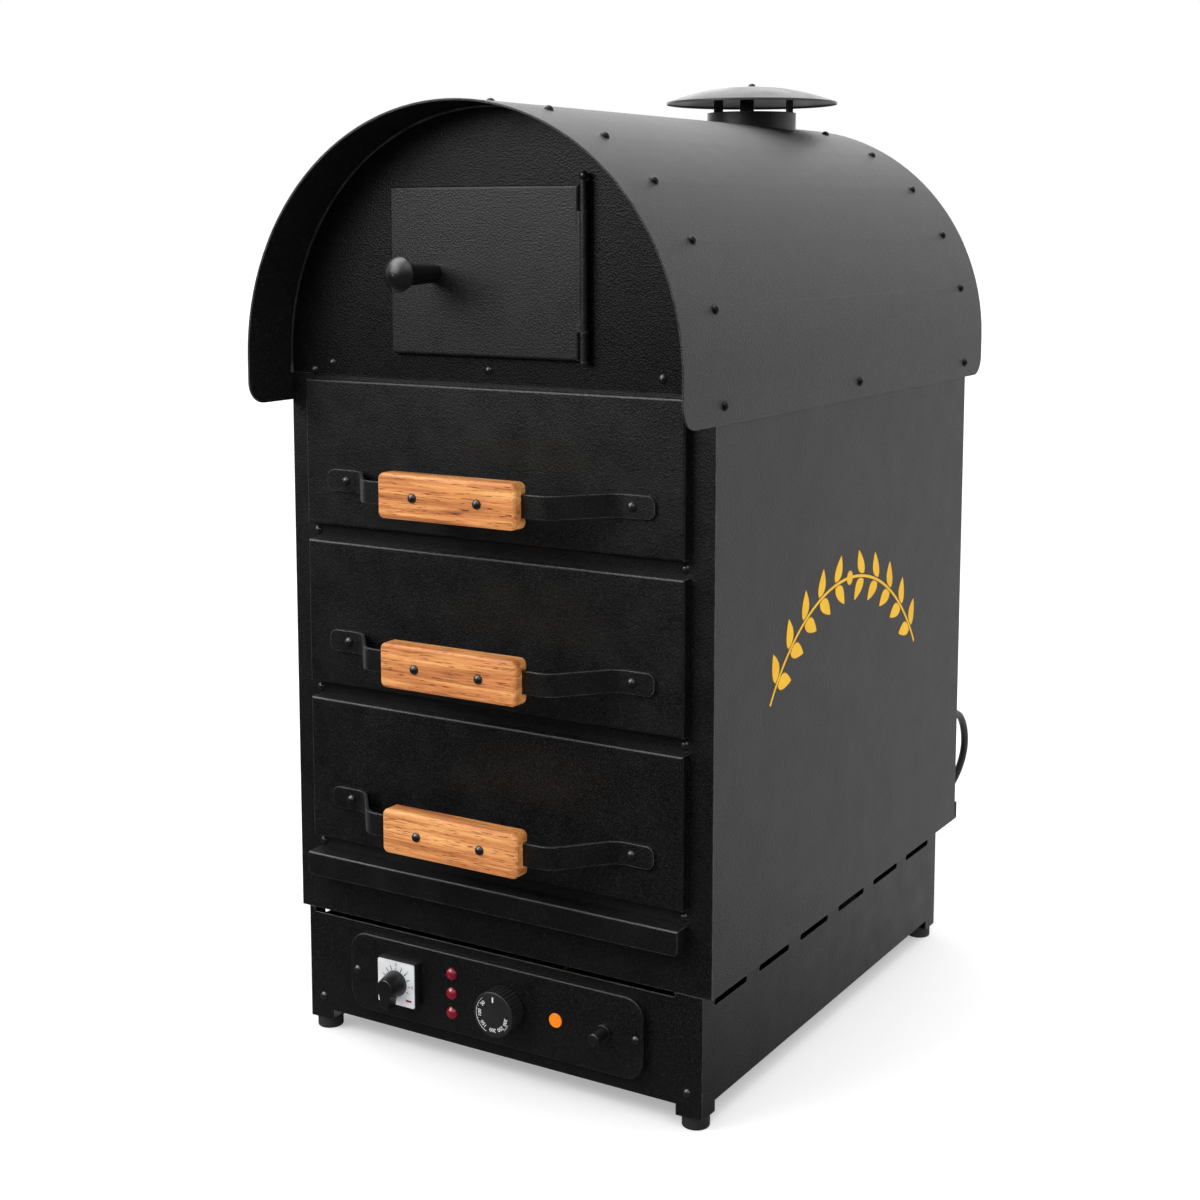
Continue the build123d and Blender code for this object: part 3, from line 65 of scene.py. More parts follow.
# ---------------------------------------------------------------- node helpers
class Shader:
    """A Principled material whose detail comes from object coordinates, in metres."""

    def __init__(self, name, colour, rough, **fixed):
        self.mat = bpy.data.materials.new(name)
        self.mat.use_nodes = True
        self.tree = self.mat.node_tree
        self.tree.nodes.clear()
        self.out = self.tree.nodes.new("ShaderNodeOutputMaterial")
        self.body = self.tree.nodes.new("ShaderNodeBsdfPrincipled")
        self.tree.links.new(self.body.outputs[0], self.out.inputs[0])
        self.where = self.tree.nodes.new("ShaderNodeTexCoord").outputs["Object"]
        self.body.inputs["Base Color"].default_value = (*colour, 1.0)
        self.body.inputs["Roughness"].default_value = rough
        for key, value in fixed.items():
            self.body.inputs[key.replace("_", " ")].default_value = value
        self.bumped = None

    def link(self, a, b):
        self.tree.links.new(a, b)

    def noise(self, scale, detail=2.0, stretch=(1, 1, 1), rough=0.5, twist=0.0):
        """Soft clouds, about scale of them to a metre; stretch packs them closer along each axis."""
        place = self.tree.nodes.new("ShaderNodeMapping")
        place.inputs["Scale"].default_value = stretch
        self.link(self.where, place.inputs["Vector"])
        n = self.tree.nodes.new("ShaderNodeTexNoise")
        n.inputs["Scale"].default_value = scale
        n.inputs["Detail"].default_value = detail
        n.inputs["Roughness"].default_value = rough
        n.inputs["Distortion"].default_value = twist
        self.link(place.outputs[0], n.inputs["Vector"])
        return n.outputs["Fac"]

    def cells(self, scale):
        """Pebbly cells, as the distance from each cell's own point."""
        n = self.tree.nodes.new("ShaderNodeTexVoronoi")
        n.inputs["Scale"].default_value = scale
        self.link(self.where, n.inputs["Vector"])
        return n.outputs["Distance"]

    def along(self, axis):
        """The place on the object along X, Y or Z."""
        split = self.tree.nodes.new("ShaderNodeSeparateXYZ")
        self.link(self.where, split.inputs[0])
        return split.outputs[axis]

    def ramp(self, value, *stops):
        """Turn a value into a colour, or a grey for a stop that is one number."""
        r = self.tree.nodes.new("ShaderNodeValToRGB")
        els = r.color_ramp.elements
        while len(els) < len(stops):
            els.new(0.5)
        for el, (at, c) in zip(els, stops):
            el.position = at
            el.color = (*c, 1.0) if hasattr(c, "__len__") else (c, c, c, 1.0)
        self.link(value, r.inputs["Fac"])
        return r.outputs["Color"]

    def math(self, how, a, b):
        n = self.tree.nodes.new("ShaderNodeMath")
        n.operation = how
        for socket, v in zip(n.inputs, (a, b)):
            if hasattr(v, "is_linked"):
                self.link(v, socket)
            else:
                socket.default_value = v
        return n.outputs[0]

    def mix(self, share, a, b):
        """Colour a where share is 0 and colour b where it is 1."""
        n = self.tree.nodes.new("ShaderNodeMix")
        n.data_type = "RGBA"
        for key, v in ((0, share), (6, a), (7, b)):
            if hasattr(v, "is_linked"):
                self.link(v, n.inputs[key])
            else:
                n.inputs[key].default_value = v if key == 0 else (*v, 1.0)
        return n.outputs[2]

    def multiply(self, a, b):
        n = self.tree.nodes.new("ShaderNodeMix")
        n.data_type = "RGBA"
        n.blend_type = "MULTIPLY"
        n.inputs[0].default_value = 1.0
        self.link(a, n.inputs[6])
        self.link(b, n.inputs[7])
        return n.outputs[2]

    def colour(self, socket):
        self.link(socket, self.body.inputs["Base Color"])
        return self

    def roughness(self, socket):
        self.link(socket, self.body.inputs["Roughness"])
        return self

    def soft_edges(self, radius):
        """Round sharp edges in the shading."""
        b = self.tree.nodes.new("ShaderNodeBevel")
        b.samples = 4
        b.inputs["Radius"].default_value = radius
        self.bumped = b.outputs[0]
        self.link(self.bumped, self.body.inputs["Normal"])
        return self

    def bump(self, height, depth):
        """Relief of a given depth, laid over the relief that is there already."""
        b = self.tree.nodes.new("ShaderNodeBump")
        b.inputs["Distance"].default_value = depth
        b.inputs["Strength"].default_value = 1.0
        self.link(height, b.inputs["Height"])
        if self.bumped is not None:
            self.link(self.bumped, b.inputs["Normal"])
        self.bumped = b.outputs[0]
        self.link(self.bumped, self.body.inputs["Normal"])
        return self


def powder_coat(name, dark, pale, rough_low, rough_high, spec, peel=1.0, warm=(1, 1, 1), edge_highlight=0.10,
                grain=1.0):
    """Baked black powder: slow faint shade, fine orange peel, scattered pale specks, and a painted highlight
    along its edges.
    """
    s = Shader(name, (pale,) * 3, rough_high, Specular_IOR_Level=spec)
    dark_tint, pale_tint = [dark * w for w in warm], [pale * w for w in warm]
    cloud = s.ramp(s.noise(5.0, 4.0), (0.3, dark_tint), (0.72, pale_tint))
    speck_low, speck_high = 1 - 0.6 * grain, 1 + 3.2 * grain
    speck = s.ramp(s.noise(600.0, 1.5), (0.34, speck_low), (0.52, 1.0), (0.70, speck_high))
    s.soft_edges(0.0016)
    # where the softened normal leaves the face's own one there is an edge; a patchy painted highlight is
    # mixed into the colour along it
    flat = s.tree.nodes.new("ShaderNodeNewGeometry").outputs["True Normal"]
    turn = s.tree.nodes.new("ShaderNodeVectorMath")
    turn.operation = "DOT_PRODUCT"
    s.link(s.bumped, turn.inputs[0])
    s.link(flat, turn.inputs[1])
    edge = s.ramp(turn.outputs["Value"], (0.80, 1.0), (0.985, 0.0))
    edge_highlight_mask = s.math("MULTIPLY", edge, s.ramp(s.noise(60.0, 4.0), (0.35, 0.25), (0.65, 1.0)))
    s.colour(s.mix(edge_highlight_mask, s.multiply(cloud, speck), (edge_highlight, edge_highlight, edge_highlight)))
    s.roughness(s.ramp(s.noise(30.0, 5.0), (0.3, rough_low), (0.7, rough_high)))
    s.bump(s.cells(560.0), 0.00028 * peel)
    s.bump(s.noise(260.0, 1.0), 0.00006 * peel)
    return s.mat


def brushed(name, dark, pale, rough, stretch):
    """Bare metal with fine streaks across the axes that stretch packs closest."""
    s = Shader(name, pale, rough, Metallic=1.0)
    streak = s.noise(90.0, 4.0, stretch)
    s.colour(s.ramp(streak, (0.3, dark), (0.75, pale)))
    s.roughness(s.ramp(s.noise(30.0, 4.0, stretch), (0.3, rough * 0.8), (0.7, rough * 1.25)))
    s.soft_edges(0.0006)
    s.bump(streak, 0.00006)
    return s.mat


def moulded(name, dark, pale, rough, edge=0.0006, grain=0.00003, **fixed):
    """Plastic, rubber or blackened steel: even colour, a faint cloud in its gloss, a fine grain."""
    s = Shader(name, pale, rough, **fixed)
    s.colour(s.ramp(s.noise(60.0, 3.0), (0.3, dark), (0.7, pale)))
    s.roughness(s.ramp(s.noise(140.0, 4.0), (0.3, rough * 0.85), (0.7, min(1.0, rough * 1.2))))
    s.soft_edges(edge)
    s.bump(s.noise(900.0, 2.0), grain)
    return s.mat


def grey_cap():
    """The cowl's cap: a greyer, smoother coat."""
    s = Shader("grey_cap", (0.10, 0.10, 0.105), 0.36, Specular_IOR_Level=0.4)
    s.colour(s.ramp(s.noise(18.0, 4.0), (0.3, (0.040, 0.040, 0.042)), (0.7, (0.056, 0.056, 0.058))))
    s.roughness(s.ramp(s.noise(40.0, 4.0), (0.3, 0.30), (0.7, 0.42)))
    s.soft_edges(0.0008).bump(s.noise(900.0, 2.0), 0.00008)
    return s.mat


def mineral_wool():
    """Matted yellow-grey wool in flat layers."""
    s = Shader("insulation", (0.62, 0.58, 0.46), 0.95, Sheen_Weight=0.3)
    layers = s.noise(240.0, 5.0, (1, 1, 4))
    s.colour(s.ramp(layers, (0.3, (0.42, 0.38, 0.27)), (0.7, (0.68, 0.63, 0.50))))
    s.bump(s.noise(420.0, 5.0, (1, 1, 3)), 0.0012)
    return s.mat


def wire_sleeves():
    """Blue, brown and pale sleeves, told apart by their place along X."""
    s = Shader("wire", (0.55, 0.5, 0.42), 0.6)
    blue, brown, glass_white = (0.10, 0.13, 0.36), (0.24, 0.10, 0.05), (0.55, 0.50, 0.40)
    s.colour(s.ramp(s.along(0), (0.0, blue), (0.06, brown), (0.14, glass_white)))
    s.bump(s.cells(1400.0), 0.0002)
    return s.mat


def plug_and_pins():
    """Black plug, brass from the face that its pins stand on upwards."""
    black, brass = (0.014, 0.014, 0.015), (0.62, 0.48, 0.26)
    s = Shader("plug", black, 0.4)
    metal = s.ramp(s.along(2), (0.0179, 0.0), (0.0184, 1.0))
    s.colour(s.mix(metal, black, brass))
    s.link(metal, s.body.inputs["Metallic"])
    s.roughness(s.ramp(s.noise(120.0, 3.0), (0.3, 0.3), (0.7, 0.44)))
    s.soft_edges(0.0006).bump(s.noise(900.0, 2.0), 0.00004)
    return s.mat


def lamp(name, deep, bright, glow):
    """Clear moulding over a lamp: a faint moulded cell pattern inside, running from deep to bright in its
    colour.
    """
    s = Shader(name, bright, 0.16, Specular_IOR_Level=0.5, Coat_Weight=0.4, Coat_Roughness=0.06,
               Subsurface_Weight=0.15, Subsurface_Scale=0.003, Emission_Strength=glow,
               Emission_Color=(*bright, 1.0))
    s.colour(s.ramp(s.cells(620.0), (0.1, deep), (0.9, bright)))
    s.soft_edges(0.0004).bump(s.cells(620.0), 0.00012)
    return s.mat


def hardwood(name, seed):
    """Oiled light hardwood: long grain down X, growth bands, short dark pores and paler flecks."""
    s = Shader(name, (0.55, 0.27, 0.11), 0.44, Specular_IOR_Level=0.4, Coat_Weight=0.12, Coat_Roughness=0.35)
    shift = s.tree.nodes.new("ShaderNodeVectorMath")
    shift.operation = "ADD"
    shift.inputs[1].default_value = (seed * 0.37, seed * 0.21, seed * 0.53)
    s.link(s.where, shift.inputs[0])
    s.where = shift.outputs[0]
    band_grain, fibre_grain, pore_grain = (5, 60, 130), (30, 500, 900), (70, 900, 1150)
    unshaded = (1.0, 1.0, 1.0)
    bands = s.ramp(s.noise(1.0, 3.0, band_grain, 0.55, 0.6), (0.25, (0.28, 0.078, 0.020)),
                   (0.47, (0.63, 0.228, 0.060)), (0.70, (0.93, 0.45, 0.150)))
    fibre = s.ramp(s.noise(1.0, 4.0, fibre_grain, 0.6), (0.25, (0.62, 0.56, 0.50)), (0.6, unshaded))
    pores = s.ramp(s.noise(1.0, 2.0, pore_grain, 0.45), (0.31, (0.30, 0.20, 0.14)), (0.40, unshaded))
    s.colour(s.multiply(s.multiply(bands, fibre), pores))
    s.roughness(s.ramp(s.noise(1.0, 3.0, fibre_grain), (0.3, 0.38), (0.7, 0.56)))
    s.soft_edges(0.0008)
    s.bump(s.noise(1.0, 3.0, pore_grain, 0.45), 0.00010)
    return s.mat


def leaf_paint():
    """Yellow sign paint, brushed over the coat."""
    s = Shader("ornament_paint", (0.92, 0.52, 0.012), 0.42, Specular_IOR_Level=0.2)
    s.colour(s.ramp(s.noise(36.0, 4.0), (0.3, (0.88, 0.47, 0.008)), (0.7, (0.97, 0.57, 0.018))))
    s.roughness(s.ramp(s.noise(90.0, 3.0), (0.3, 0.36), (0.7, 0.5)))
    s.bump(s.noise(620.0, 2.0), 0.00012)
    return s.mat


def border_paint():
    """Brown paint that shows as a thin line round each leaf."""
    s = Shader("ornament_edge", (0.20, 0.075, 0.006), 0.5, Specular_IOR_Level=0.3)
    s.colour(s.ramp(s.noise(60.0, 3.0), (0.3, (0.12, 0.045, 0.004)), (0.7, (0.24, 0.09, 0.008))))
    s.bump(s.noise(620.0, 2.0), 0.00012)
    return s.mat


def ink(name, dark, pale):
    """Thin print."""
    s = Shader(name, pale, 0.5)
    s.colour(s.ramp(s.noise(400.0, 3.0), (0.3, dark), (0.7, pale)))
    s.roughness(s.ramp(s.noise(300.0, 3.0), (0.3, 0.42), (0.7, 0.6)))
    s.bump(s.noise(1500.0, 2.0), 0.00001)
    return s.mat


# ---------------------------------------------------------------- the finishes and what wears them
coat = powder_coat("black_coat", 0.0018, 0.0028, 0.36, 0.46, 0.5, peel=0.7)
coat_side = powder_coat("black_coat_side", 0.0040, 0.0050, 0.47, 0.51, 0.5, peel=0.9,
                        warm=(1.03, 1.0, 1.02), grain=0.9)
# the hood's coat has a stronger painted highlight along its edges
coat_hood = powder_coat("black_coat_hood", 0.0050, 0.0060, 0.46, 0.48, 0.5, peel=0.9,
                        warm=(1.0, 1.0, 0.98), edge_highlight=0.12, grain=0.9)
coat_base = powder_coat("black_coat_base", 0.0020, 0.0030, 0.40, 0.48, 0.36, peel=0.7,
                        warm=(1.06, 1.0, 0.92))
# the door's copy of the black coat is paler than the front's: painted light on the door
coat_door_painted_light = powder_coat("black_coat_door", 0.0024, 0.0038, 0.36, 0.46, 0.5, peel=0.7,
                        warm=(1.02, 1.0, 1.05))
# the arch panel's copy of the black coat is darker and less glossy: painted shade under the hood's overhang
coat_arch_painted_shade = powder_coat("black_coat_arch", 0.0012, 0.0018, 0.34, 0.42, 0.24, peel=0.8)
coat_inner = powder_coat("black_coat_inner", 0.004, 0.006, 0.55, 0.7, 0.15)
tray_steel = powder_coat("tray_coat", 0.010, 0.017, 0.42, 0.55, 0.3)

fastener = moulded("black_fastener", (0.005, 0.005, 0.006), (0.009, 0.009, 0.010), 0.26, 0.0004,
                   Specular_IOR_Level=0.7)
rivet_black = moulded("black_rivet", (0.003, 0.003, 0.003), (0.005, 0.005, 0.005), 0.30, 0.0004,
                      Specular_IOR_Level=0.22)
knob_black = moulded("black_knob", (0.004, 0.004, 0.005), (0.007, 0.007, 0.008), 0.33, 0.0005,
                     Specular_IOR_Level=0.60)
dial_black = moulded("dial_black", (0.012, 0.012, 0.013), (0.019, 0.019, 0.020), 0.42, 0.0004, 0.00005,
                     Specular_IOR_Level=0.35)
white_face = moulded("white_plastic", (0.66, 0.67, 0.69), (0.78, 0.79, 0.80), 0.38, 0.0003, 0.00002)
dark_body = moulded("control_body", (0.008, 0.008, 0.009), (0.014, 0.014, 0.015), 0.4)
foot_rubber = moulded("foot_rubber", (0.010, 0.010, 0.010), (0.02, 0.02, 0.02), 0.62, 0.0008, 0.00008)
cord_rubber = moulded("cord_rubber", (0.008, 0.008, 0.009), (0.014, 0.014, 0.015), 0.42, 0.0004, 0.00004)
magnet = moulded("magnet", (0.05, 0.05, 0.055), (0.10, 0.10, 0.105), 0.5)
terminal = moulded("terminal_block", (0.56, 0.52, 0.42), (0.66, 0.62, 0.52), 0.5)

liner = brushed("liner_steel", (0.30, 0.30, 0.29), (0.50, 0.50, 0.49), 0.36, (1, 14, 1))
runner = brushed("runner_steel", (0.34, 0.34, 0.33), (0.54, 0.54, 0.53), 0.34, (14, 1, 14))
sheath = brushed("element_sheath", (0.10, 0.085, 0.07), (0.24, 0.22, 0.20), 0.5, (3, 3, 3))
spring = brushed("spring_steel", (0.42, 0.42, 0.41), (0.60, 0.60, 0.59), 0.25, (6, 6, 6))
copper = brushed("copper_bulb", (0.42, 0.17, 0.09), (0.66, 0.30, 0.18), 0.34, (2, 2, 2))

red_lens = lamp("red_lamp", (0.12, 0.003, 0.009), (0.30, 0.008, 0.022), 0.02)
orange_lens = lamp("orange_lamp", (0.84, 0.20, 0.006), (0.95, 0.25, 0.010), 0.10)
yellow_paint = leaf_paint()
brown_paint = border_paint()
ink_dark = ink("ink_dark", (0.02, 0.02, 0.025), (0.05, 0.05, 0.055))
ink_grey = ink("ink_grey", (0.16, 0.16, 0.18), (0.24, 0.24, 0.26))
ink_red = ink("ink_red", (0.22, 0.02, 0.02), (0.34, 0.035, 0.03))
ink_white = ink("ink_white", (0.66, 0.66, 0.66), (0.8, 0.8, 0.8))

worn_by = (
    (coat, "front_frame rear_arch_panel control_panel hinge_knuckles flue_collar crumb_tray"),
    (coat_side, "side_panel_left side_panel_right back_panel"),
    (coat_hood, "hood_shell"),
    (coat_arch_painted_shade, "front_arch_panel"),
    (coat_door_painted_light, "hood_door"),
    (coat_base, "base_plinth"),
    (coat_inner, "base_floor cabinet_floor cowl_struts"),
    (grey_cap(), "cowl_cap"),
    (fastener, "dome_screws hinge_pin"),
    (rivet_black, "rivets"),
    (knob_black, "door_knob switch_knob push_button button_bushing"),
    (dial_black, "thermostat_knob"),
    (dark_body, "switch_body thermostat_body"),
    (white_face, "switch_plate"),
    (red_lens, "red_lamps"),
    (orange_lens, "orange_lamp"),
    (liner, "oven_liner warming_deck"),
    (runner, "drawer_runners"),
    (sheath, "heating_elements"),
    (copper, "thermostat_bulb"),
    (spring, "button_spring"),
    (magnet, "door_catch"),
    (terminal, "terminal_block"),
    (mineral_wool(), "insulation"),
    (wire_sleeves(), "wiring_loom"),
    (foot_rubber, "feet"),
    (cord_rubber, "power_cord cord_coil cable_gland"),
    (plug_and_pins(), "plug"),
)
finish = {name: mat for mat, names in worn_by for name in names.split()}
for n, level in enumerate(("bottom", "middle", "top")):
    finish["drawer_%s_front" % level] = coat
    finish["drawer_%s_tray" % level] = tray_steel
    finish["drawer_%s_strap" % level] = coat
    finish["drawer_%s_grip" % level] = hardwood("wood_%d" % n, n + 1)
    finish["drawer_%s_rivets" % level] = fastener
for name, thing in nodes.items():
    thing.data.materials.clear()
    thing.data.materials.append(finish[name])


# ---------------------------------------------------------------- the mains lead
def place_piece(name, data, mat, body):
    """Link one more piece, in one material, riding on a body."""
    thing = bpy.data.objects.new(name, data)
    scene.collection.objects.link(thing)
    data.materials.clear()
    data.materials.append(mat)
    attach(thing, body)
    return thing


lead_radius = 0.0045
back_y = 0.332              # outer face of the back panel
# the way from the gland to the floor in millimetres, Y counted from the back panel
route = [(217, 36, 248), (217, 72, 248), (217, 101.5, 225.7), (216, 111.7, 190.1), (210, 100, 156),
         (197, 78, 127), (183, 62, 94), (172, 61, 58), (167, 80, 25), (165, 117, 4.5), (154, 152, 4.5),
         (124, 175, 4.5)]
coil_x, coil_y, coil_mean, coil_end = 0.085, 0.458, 0.0482, 0.050
coil_turns, points_per_turn = 4.25, 14
coil_sway = 0.0062          # how far a turn strays from the mean ring
coil_climb = 0.0090         # how far the upper turns lie above the lower ones
coil_sink = 0.0052          # how far the last turn comes down again, to meet the plug
plug_y, plug_z = 0.406, 0.008


def lead_points():
    """The lead's middle line: out of the gland, down to the floor, round the coil and into the plug."""
    points = [(x / 1000, back_y + y / 1000, z / 1000) for x, y, z in route]
    steps = int(coil_turns * points_per_turn)
    for n in range(steps + 1):
        done = n / steps
        turn = math.pi / 2 + 2 * math.pi * coil_turns * done
        wave = math.cos(2 * math.pi * (done * coil_turns * 0.5 + 0.02))
        ring = coil_mean + coil_sway * wave * math.sin(math.pi * done) ** 0.5
        if n in (0, steps):
            ring = coil_end
        height = lead_radius + coil_climb * min(1.0, max(0.0, (done - 0.42) / 0.14))
        height -= coil_sink * max(0.0, (done - 0.88) / 0.12)
        points.append((coil_x + ring * math.cos(turn), coil_y + ring * math.sin(turn), height))
    plug_x = coil_x - coil_end
    for y in (coil_y - 0.018, coil_y - 0.036, plug_y):
        points.append((plug_x, y, plug_z))
    return points


def mains_lead():
    line = bpy.data.curves.new("mains_lead", "CURVE")
    line.dimensions = "3D"
    line.bevel_depth = lead_radius
    line.bevel_resolution = 5
    line.resolution_u = 8
    line.use_fill_caps = True
    points = lead_points()
    spline = line.splines.new("NURBS")
    spline.points.add(len(points) - 1)
    for p, at in zip(spline.points, points):
        p.co = (*at, 1.0)
    spline.order_u = 3
    spline.use_endpoint_u = True
    return place_piece("mains_lead", line, cord_rubber, "cabinet")


lead = mains_lead()
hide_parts("power_cord", "cord_coil")


# ---------------------------------------------------------------- printed marks
print_depth, fine_print_depth = 0.00010, 0.00008
plate_inset = 0.00008       # how far a plate's top is drawn in from its foot
number_half_depth, number_swell, number_lift = 0.00004, 0.00005, 0.00005


def plate(name, outlines, to_world, depth, mat, body, slot):
    """Thin raised paint or print: closed outlines in a plane, each given its own low rounded step."""
    verts, faces = [], []
    for outline in outlines:
        count = len(outline)
        cx = sum(p[0] for p in outline) / count
        cy = sum(p[1] for p in outline) / count
        base = len(verts)
        for inset, lift in ((0.0, 0.0), (0.0, depth * 0.6), (plate_inset, depth)):
            for x, y in outline:
                reach = math.hypot(x - cx, y - cy) or 1.0
                k = 1 - min(0.5, inset / reach)
                verts.append(to_world(cx + (x - cx) * k, cy + (y - cy) * k, lift))
        for ring in (0, 1):
            for i in range(count):
                a = base + ring * count + i
                b = base + ring * count + (i + 1) % count
                faces.append((a, b, b + count, a + count))
        faces.append(tuple(base + 2 * count + i for i in range(count)))
        faces.append(tuple(base + i for i in reversed(range(count))))
    mesh = bpy.data.meshes.new(name)
    mesh.from_pydata(verts, [], faces)
    mesh.validate()
    mesh.update()
    return place_piece(name, mesh, mat, body)


def bar(radius_in, radius_out, degrees, width_in, width_out=None):
    """A straight tick between two radii, pointing out at a clock angle."""
    width_out = width_in if width_out is None else width_out
    a = math.radians(degrees)
    s, c = math.sin(a), math.cos(a)
    corners = ((radius_in, -width_in / 2), (radius_in, width_in / 2), (radius_out, width_out / 2),
               (radius_out, -width_out / 2))
    return [(r * s + w * c, r * c - w * s) for r, w in corners]


def front_at(cx, cz, y):
    """Places a plate on a face that looks to the front, around a centre."""
    return lambda u, v, lift: (cx + u, y - lift, cz + v)


def front_face(node):
    """Middle of a node in X and Z, and the Y of its front."""
    low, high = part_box(node)
    return (low.x + high.x) / 2, (low.z + high.z) / 2, low.y


def number(name, text, cx, cz, y, radius, degrees, height, mat, body, slot, tilt=1.0):
    """A plain number, its foot towards the dial's centre, or upright where tilt is 0."""
    font = bpy.data.curves.new(name, "FONT")
    font.body = text
    font.size = height
    font.align_x = "CENTER"
    font.align_y = "CENTER"
    font.extrude = number_half_depth
    font.offset = number_swell
    font.resolution_u = 3
    draft = bpy.data.objects.new(name + "_draft", font)
    scene.collection.objects.link(draft)
    bpy.context.view_layer.update()
    mesh = bpy.data.meshes.new_from_object(draft.evaluated_get(bpy.context.evaluated_depsgraph_get()))
    bpy.data.objects.remove(draft)
    bpy.data.curves.remove(font)
    a = math.radians(degrees)
    at = Vector((cx + radius * math.sin(a), y - number_lift, cz + radius * math.cos(a)))
    mesh.transform(Matrix.Translation(at) @ Matrix.Rotation(a * tilt, 4, "Y")
                   @ Matrix.Rotation(math.radians(90), 4, "X"))
    mesh.name = name
    return place_piece(name, mesh, mat, body)


def selector_marks():
    """On the selector's plate: a fan of ticks, plain numbers and one red stop mark."""
    place = ("cabinet", "white_plastic")
    x, z, y = front_face("switch_plate")
    on_face = front_at(x, z, y)
    ticks = [bar(0.0142, 0.0190, a, 0.0010, 0.0007) for a in (-42, -22, 24, 46, 70)]
    ticks += [bar(0.0142, 0.0164, 0, 0.0009)]
    ticks += [bar(0.0150, 0.0180, a, 0.0008) for a in (94, 118, -66, -92)]
    plate("selector_ticks", ticks, on_face, print_depth, ink_dark, *place)
    number("selector_0", "0", x, z, y, 0.0193, 0, 0.0056, ink_grey, *place)
    number("selector_1", "1", x, z, y, 0.0208, 46, 0.0042, ink_grey, *place, tilt=0.0)
    number("selector_2", "2", x, z, y, 0.0204, 92, 0.0042, ink_dark, *place, tilt=0.0)
    left, right, low, high = 0.0122, 0.0192, -0.0172, -0.0150
    stop = [(left, low), (right, low), (right, high), (left, high)]
    plate("selector_stop", [stop], on_face, print_depth, ink_red, *place)


def dial_marks():
    """On the thermostat's dial: an index stroke, numbers, a band that widens, and fine ticks."""
    place = ("thermostat_dial", "black_knob")
    x, z, y = front_face("thermostat_knob")
    on_face = front_at(x, z, y)
    plate("dial_index", [bar(0.0128, 0.0182, 0, 0.0016)], on_face, print_depth, ink_white, *place)
    for text, at in (("50", -50), ("100", -92), ("150", -136), ("200", 180), ("250", 143), ("300", 106)):
        number("dial_" + text, text, x, z, y, 0.0152, at, 0.0052, ink_white, *place)
    radius, least, growth, steps = 0.0193, 0.00025, 0.0003, 32
    inner, outer = [], []
    for k in range(steps + 1):
        a = math.radians(-38 - 118 * k / steps)
        wide = radius + least + growth * k / steps
        inner.append((radius * math.sin(a), radius * math.cos(a)))
        outer.append((wide * math.sin(a), wide * math.cos(a)))
    band = [[outer[k], outer[k + 1], inner[k + 1], inner[k]] for k in range(steps)]
    fine_ticks = (112, 117, 122, 127, 132, -60, -70, -80, -110, -120)
    band += [bar(0.0180, 0.0196, a, 0.0004) for a in fine_ticks]
    plate("dial_band", band, on_face, fine_print_depth, ink_white, *place)


selector_marks()
dial_marks()


# ---------------------------------------------------------------- bead round the front arch
bead_radius, bead_proud, bead_overlap = 0.0015, 0.0004, 0.0002
bead_steps, bead_sides = 72, 10


def arch_bead():
    """Round bead where the front arch panel meets the hood, up its legs and over its half circle."""
    low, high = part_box("front_arch_panel")
    reach = high.x - bead_radius + bead_overlap
    spring_z = high.z - high.x
    sweep = [math.pi * k / bead_steps for k in range(bead_steps + 1)]
    spine = [(reach, low.z, 0.0)]
    spine += [(reach * math.cos(a), spring_z + reach * math.sin(a), a) for a in sweep]
    spine += [(-reach, low.z, math.pi)]
    verts, faces = [], []
    for x, z, a in spine:
        for k in range(bead_sides):
            around = 2 * math.pi * k / bead_sides
            out, ahead = bead_radius * math.cos(around), bead_radius * math.sin(around)
            verts.append((x + out * math.cos(a), low.y - bead_proud + ahead, z + out * math.sin(a)))
    for n in range(len(spine) - 1):
        for k in range(bead_sides):
            a, b = n * bead_sides + k, n * bead_sides + (k + 1) % bead_sides
            faces.append((a, b, b + bead_sides, a + bead_sides))
    faces.append(tuple(reversed(range(bead_sides))))
    faces.append(tuple(range(len(verts) - bead_sides, len(verts))))
    mesh = bpy.data.meshes.new("arch_bead")
    mesh.from_pydata(verts, [], faces)
    for face in mesh.polygons:
        face.use_smooth = True
    mesh.update()
    place_piece("arch_bead", mesh, coat_side, "cabinet")


arch_bead()


# ---------------------------------------------------------------- painted leaf garland
# three points that its stem passes through, in Y and Z on the right side
garland_points = (Vector((-0.182, 0.388)), Vector((0.040, 0.480)), Vector((0.187, 0.381)))
leaf_pairs = 11             # the middle pair gives way to a berry
leaf_length, leaf_width, leaf_lean, leaf_border = 0.0300, 0.0155, 50, 0.0010
leaf_stand = 0.0045         # leaf's foot off the stem's middle, so that no two shapes overlap
berry_radius, stem_half = 0.0074, 0.0015
stem_steps, berry_steps = 60, (29, 30)
border_depth, paint_depth = 0.00012, 0.00026


def circle_through(p, q, r):
    """Centre and radius of the circle through three points."""
    pp, qq, rr = p.length_squared, q.length_squared, r.length_squared
    d = 2 * (p.x * (q.y - r.y) + q.x * (r.y - p.y) + r.x * (p.y - q.y))
    x = (pp * (q.y - r.y) + qq * (r.y - p.y) + rr * (p.y - q.y)) / d
    y = (pp * (r.x - q.x) + qq * (p.x - r.x) + rr * (q.x - p.x)) / d
    centre = Vector((x, y))
    return centre, (p - centre).length


